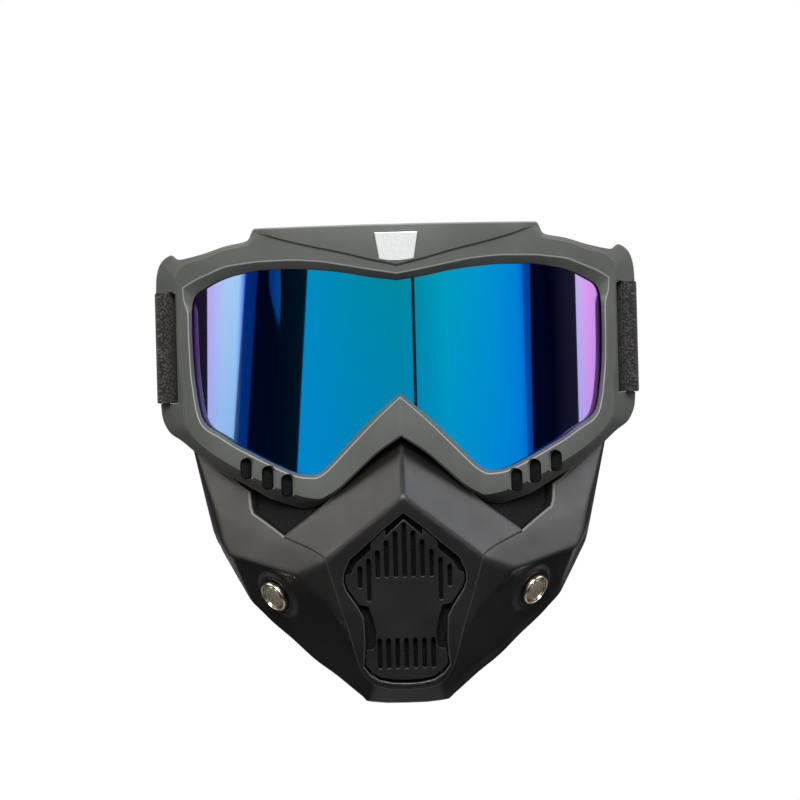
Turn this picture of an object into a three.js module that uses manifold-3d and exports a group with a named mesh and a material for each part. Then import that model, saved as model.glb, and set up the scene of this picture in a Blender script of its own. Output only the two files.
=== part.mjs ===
// Goggle mask: a moulded goggle frame with a mirrored wrap lens, a foam seat and an elastic strap, and a
// hard face guard with a slotted vent that sits behind the frame's lower edge.
// Millimetres. +X is to the right as seen from the front, +Y runs to the back, +Z is up. The origin is on
// the middle plane, at the foam's back edge, at the height of the strap's middle.

import * as THREE from "three";
import { mergeVertices } from "three/addons/utils/BufferGeometryUtils.js";
import Module from "manifold-3d";

const wasm = await Module();
wasm.setup();

// Clearances
const GAP = 0.3;                   // between pieces that touch

// Lens
const LENS_RADIUS = 96;            // wrap radius of the lens's front face
const LENS_WRAP = 52;              // degrees from the front at which the wrap runs out straight
const LENS_THICKNESS = 2;
const LENS_BITE = 3;               // how far the lens goes into the frame's groove

// Goggle frame
const OPENING_WIDTH = 154;
const OPENING_HEIGHT = 75.6;
const LUG_REACH = 15.2;            // from the opening's side to the strap lug's outer edge
const BROW_BORDER = 15;            // frame above the opening
const CHEEK_BORDER = 12.3;         // frame below the opening
const RIM_PROUD = 4;               // front face ahead of the lens
const LIP = 1;                     // depth of the lip in front of the lens's edge
const EDGE_FALL = 3.5;             // outer edge behind the lens's face
const EDGE_THICKNESS = 3.5;
const SKIRT_OUT = 6.3;             // skirt's outer face, out from the opening's edge
const SKIRT_WALL = 2.5;
const SKIRT_DEPTH = 26;            // skirt's back edge behind the lens's face
const STRAP_SLOT_IN = 7.8;         // from the opening's side to the strap slot
const BAR_WIDTH = 2.9;             // lug's bar outside the slot
const STRAP_ROOM = 1;              // slot past each edge of the strap
const FRAME_VENT_WIDTH = 4;
const FRAME_VENT_DEPTH = 5;
const LENS_STEPS = 36;             // flats across the wrap

// Foam seat
const FOAM_DEPTH = 13.7;
const FOAM_WIDTH = 9;

// Brow badge
const BADGE_WIDTH = 15.8;
const BADGE_FOOT_WIDTH = 12.6;
const BADGE_HEIGHT = 9.8;
const BADGE_THICKNESS = 1.2;
const BADGE_RECESS = 0.8;
const BADGE_HEIGHT_ON_FRAME = 34.2; // middle of the badge above the origin

// Strap
const STRAP_WIDTH = 42;
const STRAP_THICKNESS = 1.6;
const LOOP_HALF_BREADTH = 78;      // strap loop's back bend, from the middle plane
const LOOP_BACK = 190;             // strap loop's end behind the foam's back edge
const STRAP_DOUBLE = 30;           // sewn double stretch behind the lug
const SIDE_STEPS = 10;
const BEND_STEPS = 14;

// Face guard
const GUARD_HALF_WIDTH = 79;
const GUARD_HEIGHT = 92;           // from the seat behind the frame's lower edge down to the foot lip
const GUARD_REACH = 17;            // muzzle's crest ahead of the lens
const GUARD_DEPTH = 79;            // crest to rear edge
const GUARD_WALL = 2.5;
const VENT_HALF_WIDTH = 22.2;
const VENT_HEIGHT = 61.8;
const VENT_DROP = 21.5;            // vent's apex below the guard's seat
const GRILLE_SET_BACK = 1.2;
const GRILLE_THICKNESS = 2;
const SLOT_WIDTH = 1.5;
const SLOT_PITCH = 3.25;
const LINER_THICKNESS = 3;         // foam lining behind the vent and the notches

// Rivets
const RIVET_DIAMETER = 12;
const RIVET_HEAD = 1.5;
const RIVET_STEM = 4;
const RIVET_SIDES = 24;
const RIVET_ACROSS = 48;           // from the middle plane
const RIVET_DROP = 51.7;           // below the guard's seat

const LENS_FRONT = -(SKIRT_DEPTH + FOAM_DEPTH + GAP);
const HALF_OPENING = OPENING_WIDTH / 2;
const FAR = 400;
const SIDES = [-1, 1];

const FINISH = {
  moulded_rubber: { color: 0x565755, roughness: 0.6, metalness: 0 },
  mirror_lens: { color: 0x0088b4, roughness: 0.05, metalness: 1 },
  brushed_badge: { color: 0xd9dbda, roughness: 0.35, metalness: 1 },
  foam: { color: 0x141414, roughness: 0.95, metalness: 0 },
  elastic: { color: 0x1f1e1d, roughness: 0.9, metalness: 0 },
  satin_abs: { color: 0x1b1b1b, roughness: 0.4, metalness: 0 },
  nickel: { color: 0xb9b4aa, roughness: 0.3, metalness: 1 },
};

// Half of the frame's ring, from the brow's middle down the side and back along the cheek edge to the nose.
// open: the opening's edge, as shares of half the opening's width and of its height.
// rim, face, edge: steps out and up from there, as shares of LUG_REACH and of the brow or cheek border.
// proud: the front face, in shares of RIM_PROUD. fall: the outer edge, in shares of EDGE_FALL.
const FRAME_COLUMNS = [
  "openX", "openZ", "rimX", "rimZ", "faceX", "faceZ", "edgeX", "edgeZ", "proud", "fall",
];
const BROW_ROWS = [
  [0.000, 0.287, 0.00, 0.16, 0.00, 0.33, 0.00, 1.36, 1.0, -1.3],
  [0.130, 0.306, 0.00, 0.18, 0.00, 0.39, 0.00, 1.27, 1.0, -1.3],
  [0.260, 0.332, 0.00, 0.18, 0.00, 0.44, 0.00, 1.14, 1.0, -1.3],
  [0.391, 0.349, -0.07, 0.20, 0.06, 0.53, 0.14, 1.06, 1.0, -1.3],
  [0.523, 0.358, 0.00, 0.21, 0.06, 0.67, 0.14, 1.02, 1.0, -1.3],
  [0.644, 0.358, 0.06, 0.21, 0.06, 0.86, 0.14, 1.03, 1.0, -1.2],
  [0.698, 0.353, 0.13, 0.21, 0.06, 0.66, 0.07, 0.77, 1.0, -0.9],
  [0.793, 0.337, 0.13, 0.24, 0.13, 0.66, 0.15, 0.75, 1.0, -0.8],
  [0.863, 0.316, 0.23, 0.19, 0.34, 0.59, 0.37, 0.71, 1.0, -0.6],
  [0.926, 0.286, 0.27, 0.21, 0.49, 0.63, 0.66, 0.77, 1.0, -0.3],
  [0.970, 0.261, 0.24, 0.24, 0.50, 0.56, 0.68, 1.03, 1.0, 0.2],
  [0.988, 0.234, 0.28, 0.28, 0.48, 0.53, 0.88, 0.98, 1.0, 0.2],
  [0.997, 0.200, 0.21, 0.14, 0.36, 0.39, 0.96, 0.74, 1.0, 0.1],
];
const CHEEK_ROWS = [
  [1.000, 0.160, 0.10, 0.00, 0.28, 0.14, 0.97, 0.39, 1.0, 0.1],
  [1.001, 0.050, 0.09, 0.00, 0.30, 0.00, 0.98, 0.04, 1.0, 0.1],
  [0.996, -0.114, 0.09, 0.00, 0.30, 0.00, 1.03, -0.07, 1.0, 0.1],
  [0.983, -0.236, 0.09, -0.04, 0.27, -0.08, 1.00, -0.08, 1.0, 0.1],
  [0.971, -0.311, 0.09, -0.04, 0.37, 0.00, 1.03, -0.17, 1.0, 0.4],
  [0.957, -0.359, 0.08, -0.07, 0.42, -0.14, 0.93, -0.37, 1.0, 0.7],
  [0.931, -0.394, 0.06, -0.10, 0.36, -0.35, 0.69, -0.49, 1.0, 1.0],
  [0.863, -0.437, 0.03, -0.11, 0.34, -0.49, 0.59, -0.67, 1.0, 1.0],
  [0.793, -0.486, 0.02, -0.10, 0.34, -0.48, 0.54, -0.73, 1.0, 1.0],
  [0.725, -0.522, 0.02, -0.10, 0.26, -0.56, 0.35, -0.88, 1.0, 1.0],
  [0.657, -0.559, 0.01, -0.10, 0.19, -0.60, 0.25, -0.95, 1.0, 1.0],
  [0.590, -0.593, 0.01, -0.10, 0.09, -0.64, 0.14, -1.04, 1.0, 1.0],
  [0.523, -0.624, 0.00, -0.10, 0.04, -0.62, 0.07, -1.01, 1.0, 1.0],
  [0.470, -0.638, -0.01, -0.10, -0.07, -0.69, -0.02, -1.03, 1.0, 0.9],
  [0.421, -0.641, -0.03, -0.10, -0.13, -0.72, -0.05, -0.96, 1.0, 0.5],
  [0.391, -0.632, -0.05, -0.08, -0.17, -0.68, -0.20, -0.80, 1.0, 0.0],
  [0.361, -0.610, -0.06, -0.07, -0.26, -0.62, -0.32, -0.67, 1.05, -0.6],
  [0.260, -0.503, -0.07, -0.08, -0.22, -0.75, -0.24, -0.83, 1.2, -0.9],
  [0.130, -0.370, -0.07, -0.08, -0.11, -0.97, -0.13, -1.04, 1.6, -1.4],
  [0.000, -0.257, 0.00, -0.11, 0.00, -1.22, 0.00, -1.29, 2.0, -1.9],
];

// The guard hangs from the frame's outer edge at this row of CHEEK_ROWS.
const SEAT_ROW = 7;

// Frame vents in the lower edge: their middles across, as shares of half the opening's width, with the
// heights of their tops and feet as shares of the opening's height.
const FRAME_VENTS = [
  { across: 0.745, top: -0.557, foot: -0.645 },
  { across: 0.640, top: -0.595, foot: -0.698 },
  { across: 0.548, top: -0.637, foot: -0.735 },
];

// Flat faces of the guard's outside. Each passes through a point (shares of GUARD_HALF_WIDTH across,
// GUARD_HEIGHT down from the guard's seat and GUARD_DEPTH back from the muzzle's crest) and slopes back
// by out for each millimetre across and by up for each millimetre of height.
const GUARD_FACES = [
  { name: "brow of the muzzle", across: 0, down: 0.165, back: 0, out: 0.724, up: 0.729 },
  { name: "front of the muzzle", across: 0, down: 0.165, back: 0, out: 0, up: -0.191 },
  { name: "side of the muzzle", across: 0.359, down: 0.415, back: 0.056, out: 0.588, up: -0.246 },
  { name: "cheek", across: 0.554, down: 0.325, back: 0.265, out: 0.858, up: 0.394 },
  { name: "cheek's turn", across: 0.861, down: 0.116, back: 0.623, out: 2.6, up: 0.016 },
  { name: "jaw", across: 0.608, down: 0.562, back: 0.361, out: 1.195, up: -0.843 },
  { name: "jaw's turn", across: 0.722, down: 0.529, back: 0.466, out: 2.4, up: -0.6 },
  { name: "flank", across: 0.949, down: 0.132, back: 0.722, out: 12, up: -2.6 },
  { name: "chin", across: 0, down: 0.939, back: 0.171, out: 0.135, up: -1.158 },
];

// The guard's top edge seen from the front, from the middle out: the peak, the pointed notch beside it and
// the side wing. Shares of GUARD_HALF_WIDTH and of GUARD_HEIGHT down from the seat.
const GUARD_TOP = [
  [0, -0.09], [0.101, -0.03], [0.203, 0.051], [0.278, 0.122], [0.342, 0.179], [0.403, 0.223], [0.541, 0.311],
  [0.554, 0.325], [0.639, 0.273], [0.714, 0.232], [0.725, 0.206], [0.733, 0.145], [0.777, 0.121],
  [0.893, 0.045], [0.920, -0.058], [1.05, -0.058],
];

// The guard's rear and lower edge seen from the side, from the top down: shares of GUARD_DEPTH and of
// GUARD_HEIGHT.
const GUARD_RIM = [
  [1.0, -0.159], [0.98, 0.203], [0.90, 0.345], [0.82, 0.389], [0.73, 0.441], [0.68, 0.494], [0.60, 0.558],
  [0.55, 0.613], [0.523, 0.677], [0.475, 0.746], [0.43, 0.826], [0.365, 0.891], [0.31, 0.959], [0.266, 1.0],
];

// The vent's opening, from its apex down one side. Shares of VENT_HALF_WIDTH and VENT_HEIGHT.
const VENT_OUTLINE = [
  [0, 0], [0.30, 0.083], [0.59, 0.173], [0.89, 0.267], [0.98, 0.340], [1.0, 0.396], [0.95, 0.450],
  [0.775, 0.547], [0.685, 0.612], [0.67, 0.785], [0.70, 0.898], [0.595, 0.947], [0.45, 0.981],
  [0.24, 0.997], [0, 1.0],
];

// The grille plate's outline in the same shares. Its shoulders and waist stay clear of the opening.
const GRILLE_OUTLINE = [
  [0, 0.039], [0.297, 0.134], [0.297, 0.091], [0.55, 0.168], [0.55, 0.213], [0.79, 0.288], [0.88, 0.353],
  [0.965, 0.362], [0.982, 0.398], [0.935, 0.447], [0.765, 0.540], [0.61, 0.553], [0.55, 0.618],
  [0.50, 0.699], [0.51, 0.780], [0.55, 0.804], [0.655, 0.809], [0.683, 0.895], [0.585, 0.941],
  [0.445, 0.975], [0.24, 0.991], [0, 0.994],
];

// The lining's outline, from its top middle along the frame's lower edge, round the notch and down to its
// foot, in the shares of GUARD_TOP.
const LINER_OUTLINE = [
  [0, 0.16], [0.19, 0.18], [0.354, 0.225], [0.38, 0.22], [0.506, 0.219], [0.57, 0.196], [0.658, 0.155],
  [0.76, 0.111], [0.835, 0.076], [0.848, 0.16], [0.734, 0.312], [0.582, 0.399], [0.418, 0.464],
  [0.329, 0.638], [0.247, 0.790], [0.215, 0.866], [0.158, 0.921], [0, 0.932],
];

// Rivet head's section from its rim in to its dished middle: shares of its radius and of its height.
const RIVET_RING = [[1, 0], [1, 0.5], [0.9, 1], [0.72, 1], [0.66, 0.6], [0, 0.6]];
const RIVET_FOOT = 0.7;            // washer behind the wall, as a share of the head's radius

// Grille slots by place from the middle: tops and feet as shares of VENT_HEIGHT below the apex.
const UPPER_SLOTS = [
  { top: 0.060, foot: 0.380 }, { top: 0.108, foot: 0.380 }, { top: 0.160, foot: 0.380 },
  { top: 0.220, foot: 0.380 }, { top: 0.268, foot: 0.519 }, { top: 0.311, foot: 0.440 },
];
const LOWER_SLOTS = 4;
const LOWER_SLOT = { top: 0.743, foot: 0.922 };

const WELD = 1e-4;

const mm = (share, size) => share * size;

// How far the wrapped lens has turned back from its front, at x across.
function wrap(x) {
  const turn = THREE.MathUtils.degToRad(LENS_WRAP);
  const end = LENS_RADIUS * Math.sin(turn);
  const across = Math.min(Math.abs(x), end);
  const straight = Math.max(Math.abs(x) - end, 0);
  return LENS_RADIUS - Math.sqrt(LENS_RADIUS ** 2 - across ** 2) + straight * Math.tan(turn);
}

function solid(geometry) {
  const bare = geometry.index ? geometry.clone() : geometry;
  bare.deleteAttribute("normal");
  bare.deleteAttribute("uv");
  const merged = mergeVertices(bare, WELD);
  return new wasm.Manifold(new wasm.Mesh({
    numProp: 3,
    vertProperties: new Float32Array(merged.attributes.position.array),
    triVerts: new Uint32Array(merged.index.array),
  }));
}

function named(name, body, finish) {
  const { vertProperties, triVerts } = body.getMesh();
  const geometry = new THREE.BufferGeometry();
  geometry.setAttribute("position", new THREE.BufferAttribute(new Float32Array(vertProperties), 3));
  geometry.setIndex(new THREE.BufferAttribute(new Uint32Array(triVerts), 1));
  geometry.computeVertexNormals();
  const mesh = new THREE.Mesh(geometry, new THREE.MeshStandardMaterial(FINISH[finish]));
  mesh.name = name;
  return mesh;
}

// An outline in X and Z, drawn out along Y between front and back.
function frontPrism(points, front, back) {
  const shape = new THREE.Shape(points.map(([x, z]) => new THREE.Vector2(x, z)));
  const geometry = new THREE.ExtrudeGeometry(shape, { depth: back - front, bevelEnabled: false });
  geometry.rotateX(Math.PI / 2);
  geometry.translate(0, back, 0);
  return solid(geometry);
}

// An outline in X and Y, drawn up along Z between foot and top.
function planPrism(points, foot, top, holes = []) {
  const shape = new THREE.Shape(points.map(([x, y]) => new THREE.Vector2(x, y)));
  shape.holes = holes.map((hole) => new THREE.Path(hole.map(([x, y]) => new THREE.Vector2(x, y))));
  const geometry = new THREE.ExtrudeGeometry(shape, { depth: top - foot, bevelEnabled: false });
  geometry.translate(0, 0, foot);
  return solid(geometry);
}

function block(x0, x1, y0, y1, z0, z1) {
  const geometry = new THREE.BoxGeometry(x1 - x0, y1 - y0, z1 - z0);
  geometry.translate((x0 + x1) / 2, (y0 + y1) / 2, (z0 + z1) / 2);
  return solid(geometry);
}

// A half outline with its mirror image, as one closed outline.
function bothSides(half) {
  const inner = half.filter(([x]) => x > WELD);
  const middle = half.filter(([x]) => x <= WELD);
  const [first, last] = [middle[0], middle[middle.length - 1]];
  return [first, ...inner, last, ...inner.map(([x, z]) => [-x, z]).reverse()];
}

// Stations round the frame, with every place in millimetres in the frame's own axes.
function frameStations() {
  const station = (row, border, side) => {
    const r = Object.fromEntries(FRAME_COLUMNS.map((column, i) => [column, row[i]]));
    const x = mm(r.openX, HALF_OPENING);
    const z = mm(r.openZ, OPENING_HEIGHT);
    const step = (dx, dz) => [side * (x + mm(dx, LUG_REACH)), z + mm(dz, border)];
    return {
      open: [side * x, z],
      rim: step(r.rimX, r.rimZ),
      face: step(r.faceX, r.faceZ),
      edge: step(r.edgeX, r.edgeZ),
      proud: mm(r.proud, RIM_PROUD),
      fall: mm(r.fall, EDGE_FALL),
    };
  };
  const half = (side) => [
    ...BROW_ROWS.map((row) => station(row, BROW_BORDER, side)),
    ...CHEEK_ROWS.map((row) => station(row, CHEEK_BORDER, side)),
  ];
  return [...half(1), ...half(-1).slice(1, -1).reverse()];
}

// A closed ring whose section is given at each station round it.
function ring(sections) {
  const count = sections[0].length;
  const positions = sections.flat(2);
  const index = [];
  sections.forEach((_, i) => {
    const next = (i + 1) % sections.length;
    for (let j = 0; j < count; j += 1) {
      const k = (j + 1) % count;
      const [a, b, c, d] = [i * count + j, i * count + k, next * count + k, next * count + j];
      index.push(a, c, b, a, d, c);
    }
  });
  const geometry = new THREE.BufferGeometry();
  geometry.setAttribute("position", new THREE.Float32BufferAttribute(positions, 3));
  geometry.setIndex(index);
  return solid(geometry);
}

// A point out from the opening's edge towards the frame's outer edge, set back from the lens's face.
function outward(station, out, back) {
  const [dx, dz] = [station.edge[0] - station.open[0], station.edge[1] - station.open[1]];
  const length = Math.hypot(dx, dz);
  const x = station.open[0] + (dx / length) * out;
  const z = station.open[1] + (dz / length) * out;
  return [x, LENS_FRONT + wrap(x) + back, z];
}

const onFace = ([x, z], back) => [x, LENS_FRONT + wrap(x) + back, z];

function frameRing(grow) {
  const groove = LENS_BITE + GAP;
  const behind = LENS_THICKNESS + GAP;
  return ring(frameStations().map((s) => [
    outward(s, -grow, -LIP - grow),
    onFace(s.rim, -s.proud - grow),
    onFace(s.face, -s.proud - grow),
    onFace(s.edge, s.fall - grow),
    onFace(s.edge, s.fall + EDGE_THICKNESS + grow),
    outward(s, SKIRT_OUT + grow, Math.max(s.fall, 0) + EDGE_THICKNESS + grow),
    outward(s, SKIRT_OUT + grow, SKIRT_DEPTH + grow),
    outward(s, SKIRT_OUT - SKIRT_WALL - grow, SKIRT_DEPTH + grow),
    outward(s, SKIRT_OUT - SKIRT_WALL - grow, behind + SKIRT_WALL + grow),
    outward(s, GAP - grow, behind + SKIRT_WALL + grow),
    outward(s, GAP - grow, behind - grow),
    outward(s, groove - grow, behind - grow),
    outward(s, groove - grow, -GAP + grow),
    outward(s, -grow, -GAP + grow),
  ]));
}

function strapGate(side) {
  const half = STRAP_WIDTH / 2 + STRAP_ROOM;
  const slot = HALF_OPENING + STRAP_SLOT_IN;
  const bar = slot + STRAP_THICKNESS + 2 * GAP;
  const cuts = [[slot, bar], [bar + BAR_WIDTH, bar + BAR_WIDTH + LUG_REACH]];
  return cuts.map(([from, to]) => {
    const ends = [side * from, side * to].sort((a, b) => a - b);
    return block(ends[0], ends[1], -FAR, FAR, -half, half);
  });
}

function frameVents(side) {
  return FRAME_VENTS.map(({ across, top, foot }) => {
    const x = side * mm(across, HALF_OPENING);
    const front = LENS_FRONT + wrap(x) - RIM_PROUD * 2;
    const half = FRAME_VENT_WIDTH / 2;
    return block(x - half, x + half, front, front + RIM_PROUD + FRAME_VENT_DEPTH,
      mm(foot, OPENING_HEIGHT), mm(top, OPENING_HEIGHT));
  });
}

function badgeOutline(spread) {
  const [wide, narrow] = [BADGE_WIDTH / 2 + spread, BADGE_FOOT_WIDTH / 2 + spread];
  const half = BADGE_HEIGHT / 2 + spread;
  const [foot, top] = [BADGE_HEIGHT_ON_FRAME - half, BADGE_HEIGHT_ON_FRAME + half];
  return [[-wide, top], [-narrow, foot], [narrow, foot], [wide, top]];
}

const recessFloor = () => LENS_FRONT - RIM_PROUD + BADGE_RECESS;

function goggleFrame() {
  let body = frameRing(0);
  SIDES.forEach((side) => {
    [...strapGate(side), ...frameVents(side)].forEach((cut) => { body = body.subtract(cut); });
  });
  return body.subtract(frontPrism(badgeOutline(GAP), -FAR, recessFloor()));
}

function lens() {
  const outline = frameStations().map((s) => outward(s, LENS_BITE, 0)).map(([x, , z]) => [x, z]);
  const reach = HALF_OPENING + LENS_BITE * 2;
  const across = Array.from({ length: LENS_STEPS + 1 }, (_, i) => reach * (2 * i / LENS_STEPS - 1));
  const front = across.map((x) => [x, LENS_FRONT + wrap(x)]);
  const back = across.map((x) => [x, LENS_FRONT + wrap(x) + LENS_THICKNESS]).reverse();
  const sheet = planPrism([...front, ...back], -FAR, FAR);
  return sheet.intersect(frontPrism(outline, -FAR, FAR));
}

function browBadge() {
  const back = recessFloor() - GAP;
  return frontPrism(badgeOutline(0), back - BADGE_THICKNESS, back);
}

function faceFoam() {
  const inner = SKIRT_OUT - FOAM_WIDTH;
  const front = SKIRT_DEPTH + GAP;
  return ring(frameStations().map((s) => [
    outward(s, inner, front),
    outward(s, SKIRT_OUT, front),
    outward(s, SKIRT_OUT, front + FOAM_DEPTH),
    outward(s, inner, front + FOAM_DEPTH),
  ]));
}

// The strap's middle line in plan on one side, from the lug's bar to the end of the loop.
function strapLine(barOuter, barBack) {
  const start = barOuter + GAP + STRAP_THICKNESS / 2;
  const bendMiddle = LOOP_BACK - LOOP_HALF_BREADTH;
  const sideRun = new THREE.SplineCurve([
    new THREE.Vector2(start, barBack),
    new THREE.Vector2(start - STRAP_THICKNESS, barBack + STRAP_DOUBLE / 2),
    new THREE.Vector2((start + LOOP_HALF_BREADTH) / 2, (barBack + bendMiddle) / 2),
    new THREE.Vector2(LOOP_HALF_BREADTH, bendMiddle),
  ]);
  const bend = new THREE.EllipseCurve(0, bendMiddle, LOOP_HALF_BREADTH, LOOP_HALF_BREADTH, 0, Math.PI / 2);
  return [...sideRun.getPoints(SIDE_STEPS), ...bend.getPoints(BEND_STEPS).slice(1)];
}

function headStrap() {
  const slot = HALF_OPENING + STRAP_SLOT_IN;
  const barInner = slot + STRAP_THICKNESS + 2 * GAP;
  const barOuter = barInner + BAR_WIDTH;
  const lugFront = (x) => LENS_FRONT + wrap(x) - RIM_PROUD / 2 - GAP;
  const lugBack = (x) => LENS_FRONT + wrap(x) + EDGE_THICKNESS + 3 * GAP;
  const line = strapLine(barOuter, lugBack(barOuter));
  const thin = STRAP_THICKNESS / 2;
  const offset = (d) => line.map((p, i) => {
    const [a, b] = [line[Math.max(i - 1, 0)], line[Math.min(i + 1, line.length - 1)]];
    const along = new THREE.Vector2().subVectors(b, a).normalize();
    return [p.x + along.y * d, p.y - along.x * d];
  });
  const doubleTo = lugBack(barOuter) + STRAP_DOUBLE;
  const outer = offset(thin);
  const doubled = offset(-thin - STRAP_THICKNESS);
  const inner = offset(-thin).map(([x, y], i) => (y < doubleTo ? doubled[i] : [x, y]));
  const eyeFront = [
    [slot + GAP, lugFront(slot) - STRAP_THICKNESS],
    [barInner, lugFront(barInner) - STRAP_THICKNESS * 2],
    [barOuter + GAP + STRAP_THICKNESS, lugFront(barOuter)],
  ];
  const half = [
    ...inner.slice(1).reverse(),
    [slot + GAP, lugBack(slot) + EDGE_THICKNESS],
    ...eyeFront,
    ...outer,
  ];
  const hole = [
    [barInner - GAP, lugFront(barInner)],
    [barOuter + GAP, lugFront(barOuter)],
    [barOuter + GAP, lugBack(barOuter) + GAP],
    [barInner - GAP, lugBack(barInner) + GAP],
  ];
  const mirrored = (points) => points.map(([x, y]) => [-x, y]).reverse();
  const outline = [...half, ...mirrored(half)];
  return planPrism(outline, -STRAP_WIDTH / 2, STRAP_WIDTH / 2, [hole, mirrored(hole)]);
}

const guardCrest = () => LENS_FRONT - GUARD_REACH;

// Height of the frame's outer edge where the guard hangs from it.
function guardSeat() {
  const row = CHEEK_ROWS[SEAT_ROW];
  const [open, edge] = ["openZ", "edgeZ"].map((column) => row[FRAME_COLUMNS.indexOf(column)]);
  return mm(open, OPENING_HEIGHT) + mm(edge, CHEEK_BORDER);
}

const down = (share) => guardSeat() - mm(share, GUARD_HEIGHT);
const ventTop = () => guardSeat() - VENT_DROP;

// Everything behind one flat face of the guard, moved in by some depth, on one side of the mask.
function behindFace(face, depth, side) {
  const normal = new THREE.Vector3(side * face.out, -1, face.up).normalize();
  const point = new THREE.Vector3(
    side * mm(face.across, GUARD_HALF_WIDTH),
    guardCrest() + mm(face.back, GUARD_DEPTH),
    down(face.down),
  ).addScaledVector(normal, -depth);
  const geometry = new THREE.BoxGeometry(4 * FAR, 4 * FAR, 2 * FAR);
  geometry.translate(0, 0, -FAR);
  geometry.applyQuaternion(new THREE.Quaternion().setFromUnitVectors(new THREE.Vector3(0, 0, 1), normal));
  geometry.translate(point.x, point.y, point.z);
  return solid(geometry);
}

function guardForm(depth) {
  let body = block(-FAR / 2, FAR / 2, -FAR / 2, FAR / 2, -FAR / 2, FAR / 2);
  GUARD_FACES.forEach((face) => {
    SIDES.forEach((side) => { body = body.intersect(behindFace(face, depth, side)); });
  });
  return body;
}

const ventPoints = (outline) => bothSides(outline.map(([x, z]) => [
  mm(x, VENT_HALF_WIDTH), ventTop() - mm(z, VENT_HEIGHT),
]));

function rivetPlace(side) {
  const face = GUARD_FACES.find(({ name }) => name === "jaw");
  const normal = new THREE.Vector3(side * face.out, -1, face.up).normalize();
  const back = guardCrest() + mm(face.back, GUARD_DEPTH)
    + face.out * (RIVET_ACROSS - mm(face.across, GUARD_HALF_WIDTH))
    + face.up * (guardSeat() - RIVET_DROP - down(face.down));
  return { point: new THREE.Vector3(side * RIVET_ACROSS, back, guardSeat() - RIVET_DROP), normal };
}

function turned(profile, side) {
  const { point, normal } = rivetPlace(side);
  const geometry = new THREE.LatheGeometry(profile.map(([r, h]) => new THREE.Vector2(r, h)), RIVET_SIDES);
  geometry.applyQuaternion(new THREE.Quaternion().setFromUnitVectors(new THREE.Vector3(0, 1, 0), normal));
  geometry.translate(point.x, point.y, point.z);
  return solid(geometry);
}

function faceGuard() {
  let body = guardForm(0).subtract(guardForm(GUARD_WALL));
  const crest = guardCrest();
  const edge = GUARD_RIM.map(([y, z]) => [crest + mm(y, GUARD_DEPTH), down(z)]);
  const side = [[-FAR, edge[0][1]], ...edge, [-FAR, down(1)]];
  const rim = new THREE.ExtrudeGeometry(
    new THREE.Shape(side.map(([y, z]) => new THREE.Vector2(y, z))),
    { depth: FAR, bevelEnabled: false },
  );
  rim.rotateX(Math.PI / 2);
  rim.rotateZ(Math.PI / 2);
  rim.translate(-FAR / 2, 0, 0);
  body = body.intersect(solid(rim));
  const top = GUARD_TOP.map(([x, z]) => [mm(x, GUARD_HALF_WIDTH), down(z)]);
  const last = top[top.length - 1];
  const keep = bothSides([...top, [last[0], -FAR], [0, -FAR]]);
  body = body.intersect(frontPrism(keep, -FAR, FAR));
  body = body.subtract(frontPrism(ventPoints(VENT_OUTLINE), -FAR, 0));
  SIDES.forEach((s) => {
    const [r, reach] = [RIVET_STEM / 2 + GAP, GUARD_WALL * 3];
    body = body.subtract(turned([[0, -reach], [r, -reach], [r, reach], [0, reach]], s));
  });
  return body.subtract(frameRing(GAP));
}

function ventGrille() {
  const slab = guardForm(GRILLE_SET_BACK).subtract(guardForm(GRILLE_SET_BACK + GRILLE_THICKNESS));
  let body = slab.intersect(frontPrism(ventPoints(GRILLE_OUTLINE), -FAR, 0));
  const slot = (x, { top, foot }) => block(x - SLOT_WIDTH / 2, x + SLOT_WIDTH / 2, -FAR, 0,
    ventTop() - mm(foot, VENT_HEIGHT), ventTop() - mm(top, VENT_HEIGHT));
  UPPER_SLOTS.forEach((size, i) => {
    new Set([i, -i]).forEach((place) => { body = body.subtract(slot(place * SLOT_PITCH, size)); });
  });
  for (let i = 0; i < LOWER_SLOTS; i += 1) {
    new Set([i, -i]).forEach((place) => { body = body.subtract(slot(place * SLOT_PITCH, LOWER_SLOT)); });
  }
  return body;
}

function guardLiner() {
  const front = GUARD_WALL + GAP;
  const outline = bothSides(LINER_OUTLINE.map(([x, z]) => [mm(x, GUARD_HALF_WIDTH), down(z)]));
  const behindGrille = guardForm(GRILLE_SET_BACK + GRILLE_THICKNESS + GAP);
  return guardForm(front)
    .subtract(guardForm(front + LINER_THICKNESS))
    .intersect(frontPrism(outline, -FAR, FAR))
    .subtract(frontPrism(ventPoints(VENT_OUTLINE), -FAR, 0).subtract(behindGrille))
    .subtract(frameRing(GAP));
}

function rivet(side) {
  const [r, stem, under] = [RIVET_DIAMETER / 2, RIVET_STEM / 2, -GUARD_WALL - GAP];
  const foot = mm(RIVET_FOOT, r);
  return turned([
    [0, under - RIVET_HEAD],
    [foot, under - RIVET_HEAD],
    [foot, under],
    [stem, under],
    [stem, GAP],
    ...RIVET_RING.map(([out, up]) => [mm(out, r), GAP + mm(up, RIVET_HEAD)]),
  ], side);
}

const mask = new THREE.Group();
mask.add(
  named("goggle_frame", goggleFrame(), "moulded_rubber"),
  named("lens", lens(), "mirror_lens"),
  named("brow_badge", browBadge(), "brushed_badge"),
  named("face_foam", faceFoam(), "foam"),
  named("head_strap", headStrap(), "elastic"),
  named("face_guard", faceGuard(), "satin_abs"),
  named("vent_grille", ventGrille(), "satin_abs"),
  named("guard_liner", guardLiner(), "foam"),
  named("rivet_left", rivet(1), "nickel"),
  named("rivet_right", rivet(-1), "nickel"),
);

export default mask;
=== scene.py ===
# Goggle mask: moulded frame, mirrored wrap lens, foam seat, elastic strap and a hard face guard.
# Shapes are worked out in millimetres in the part's own axes and turned to metres as meshes are made.
import math

import bmesh
import bpy
import numpy as np
from mathutils import Matrix, Vector
from mathutils.kdtree import KDTree

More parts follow.
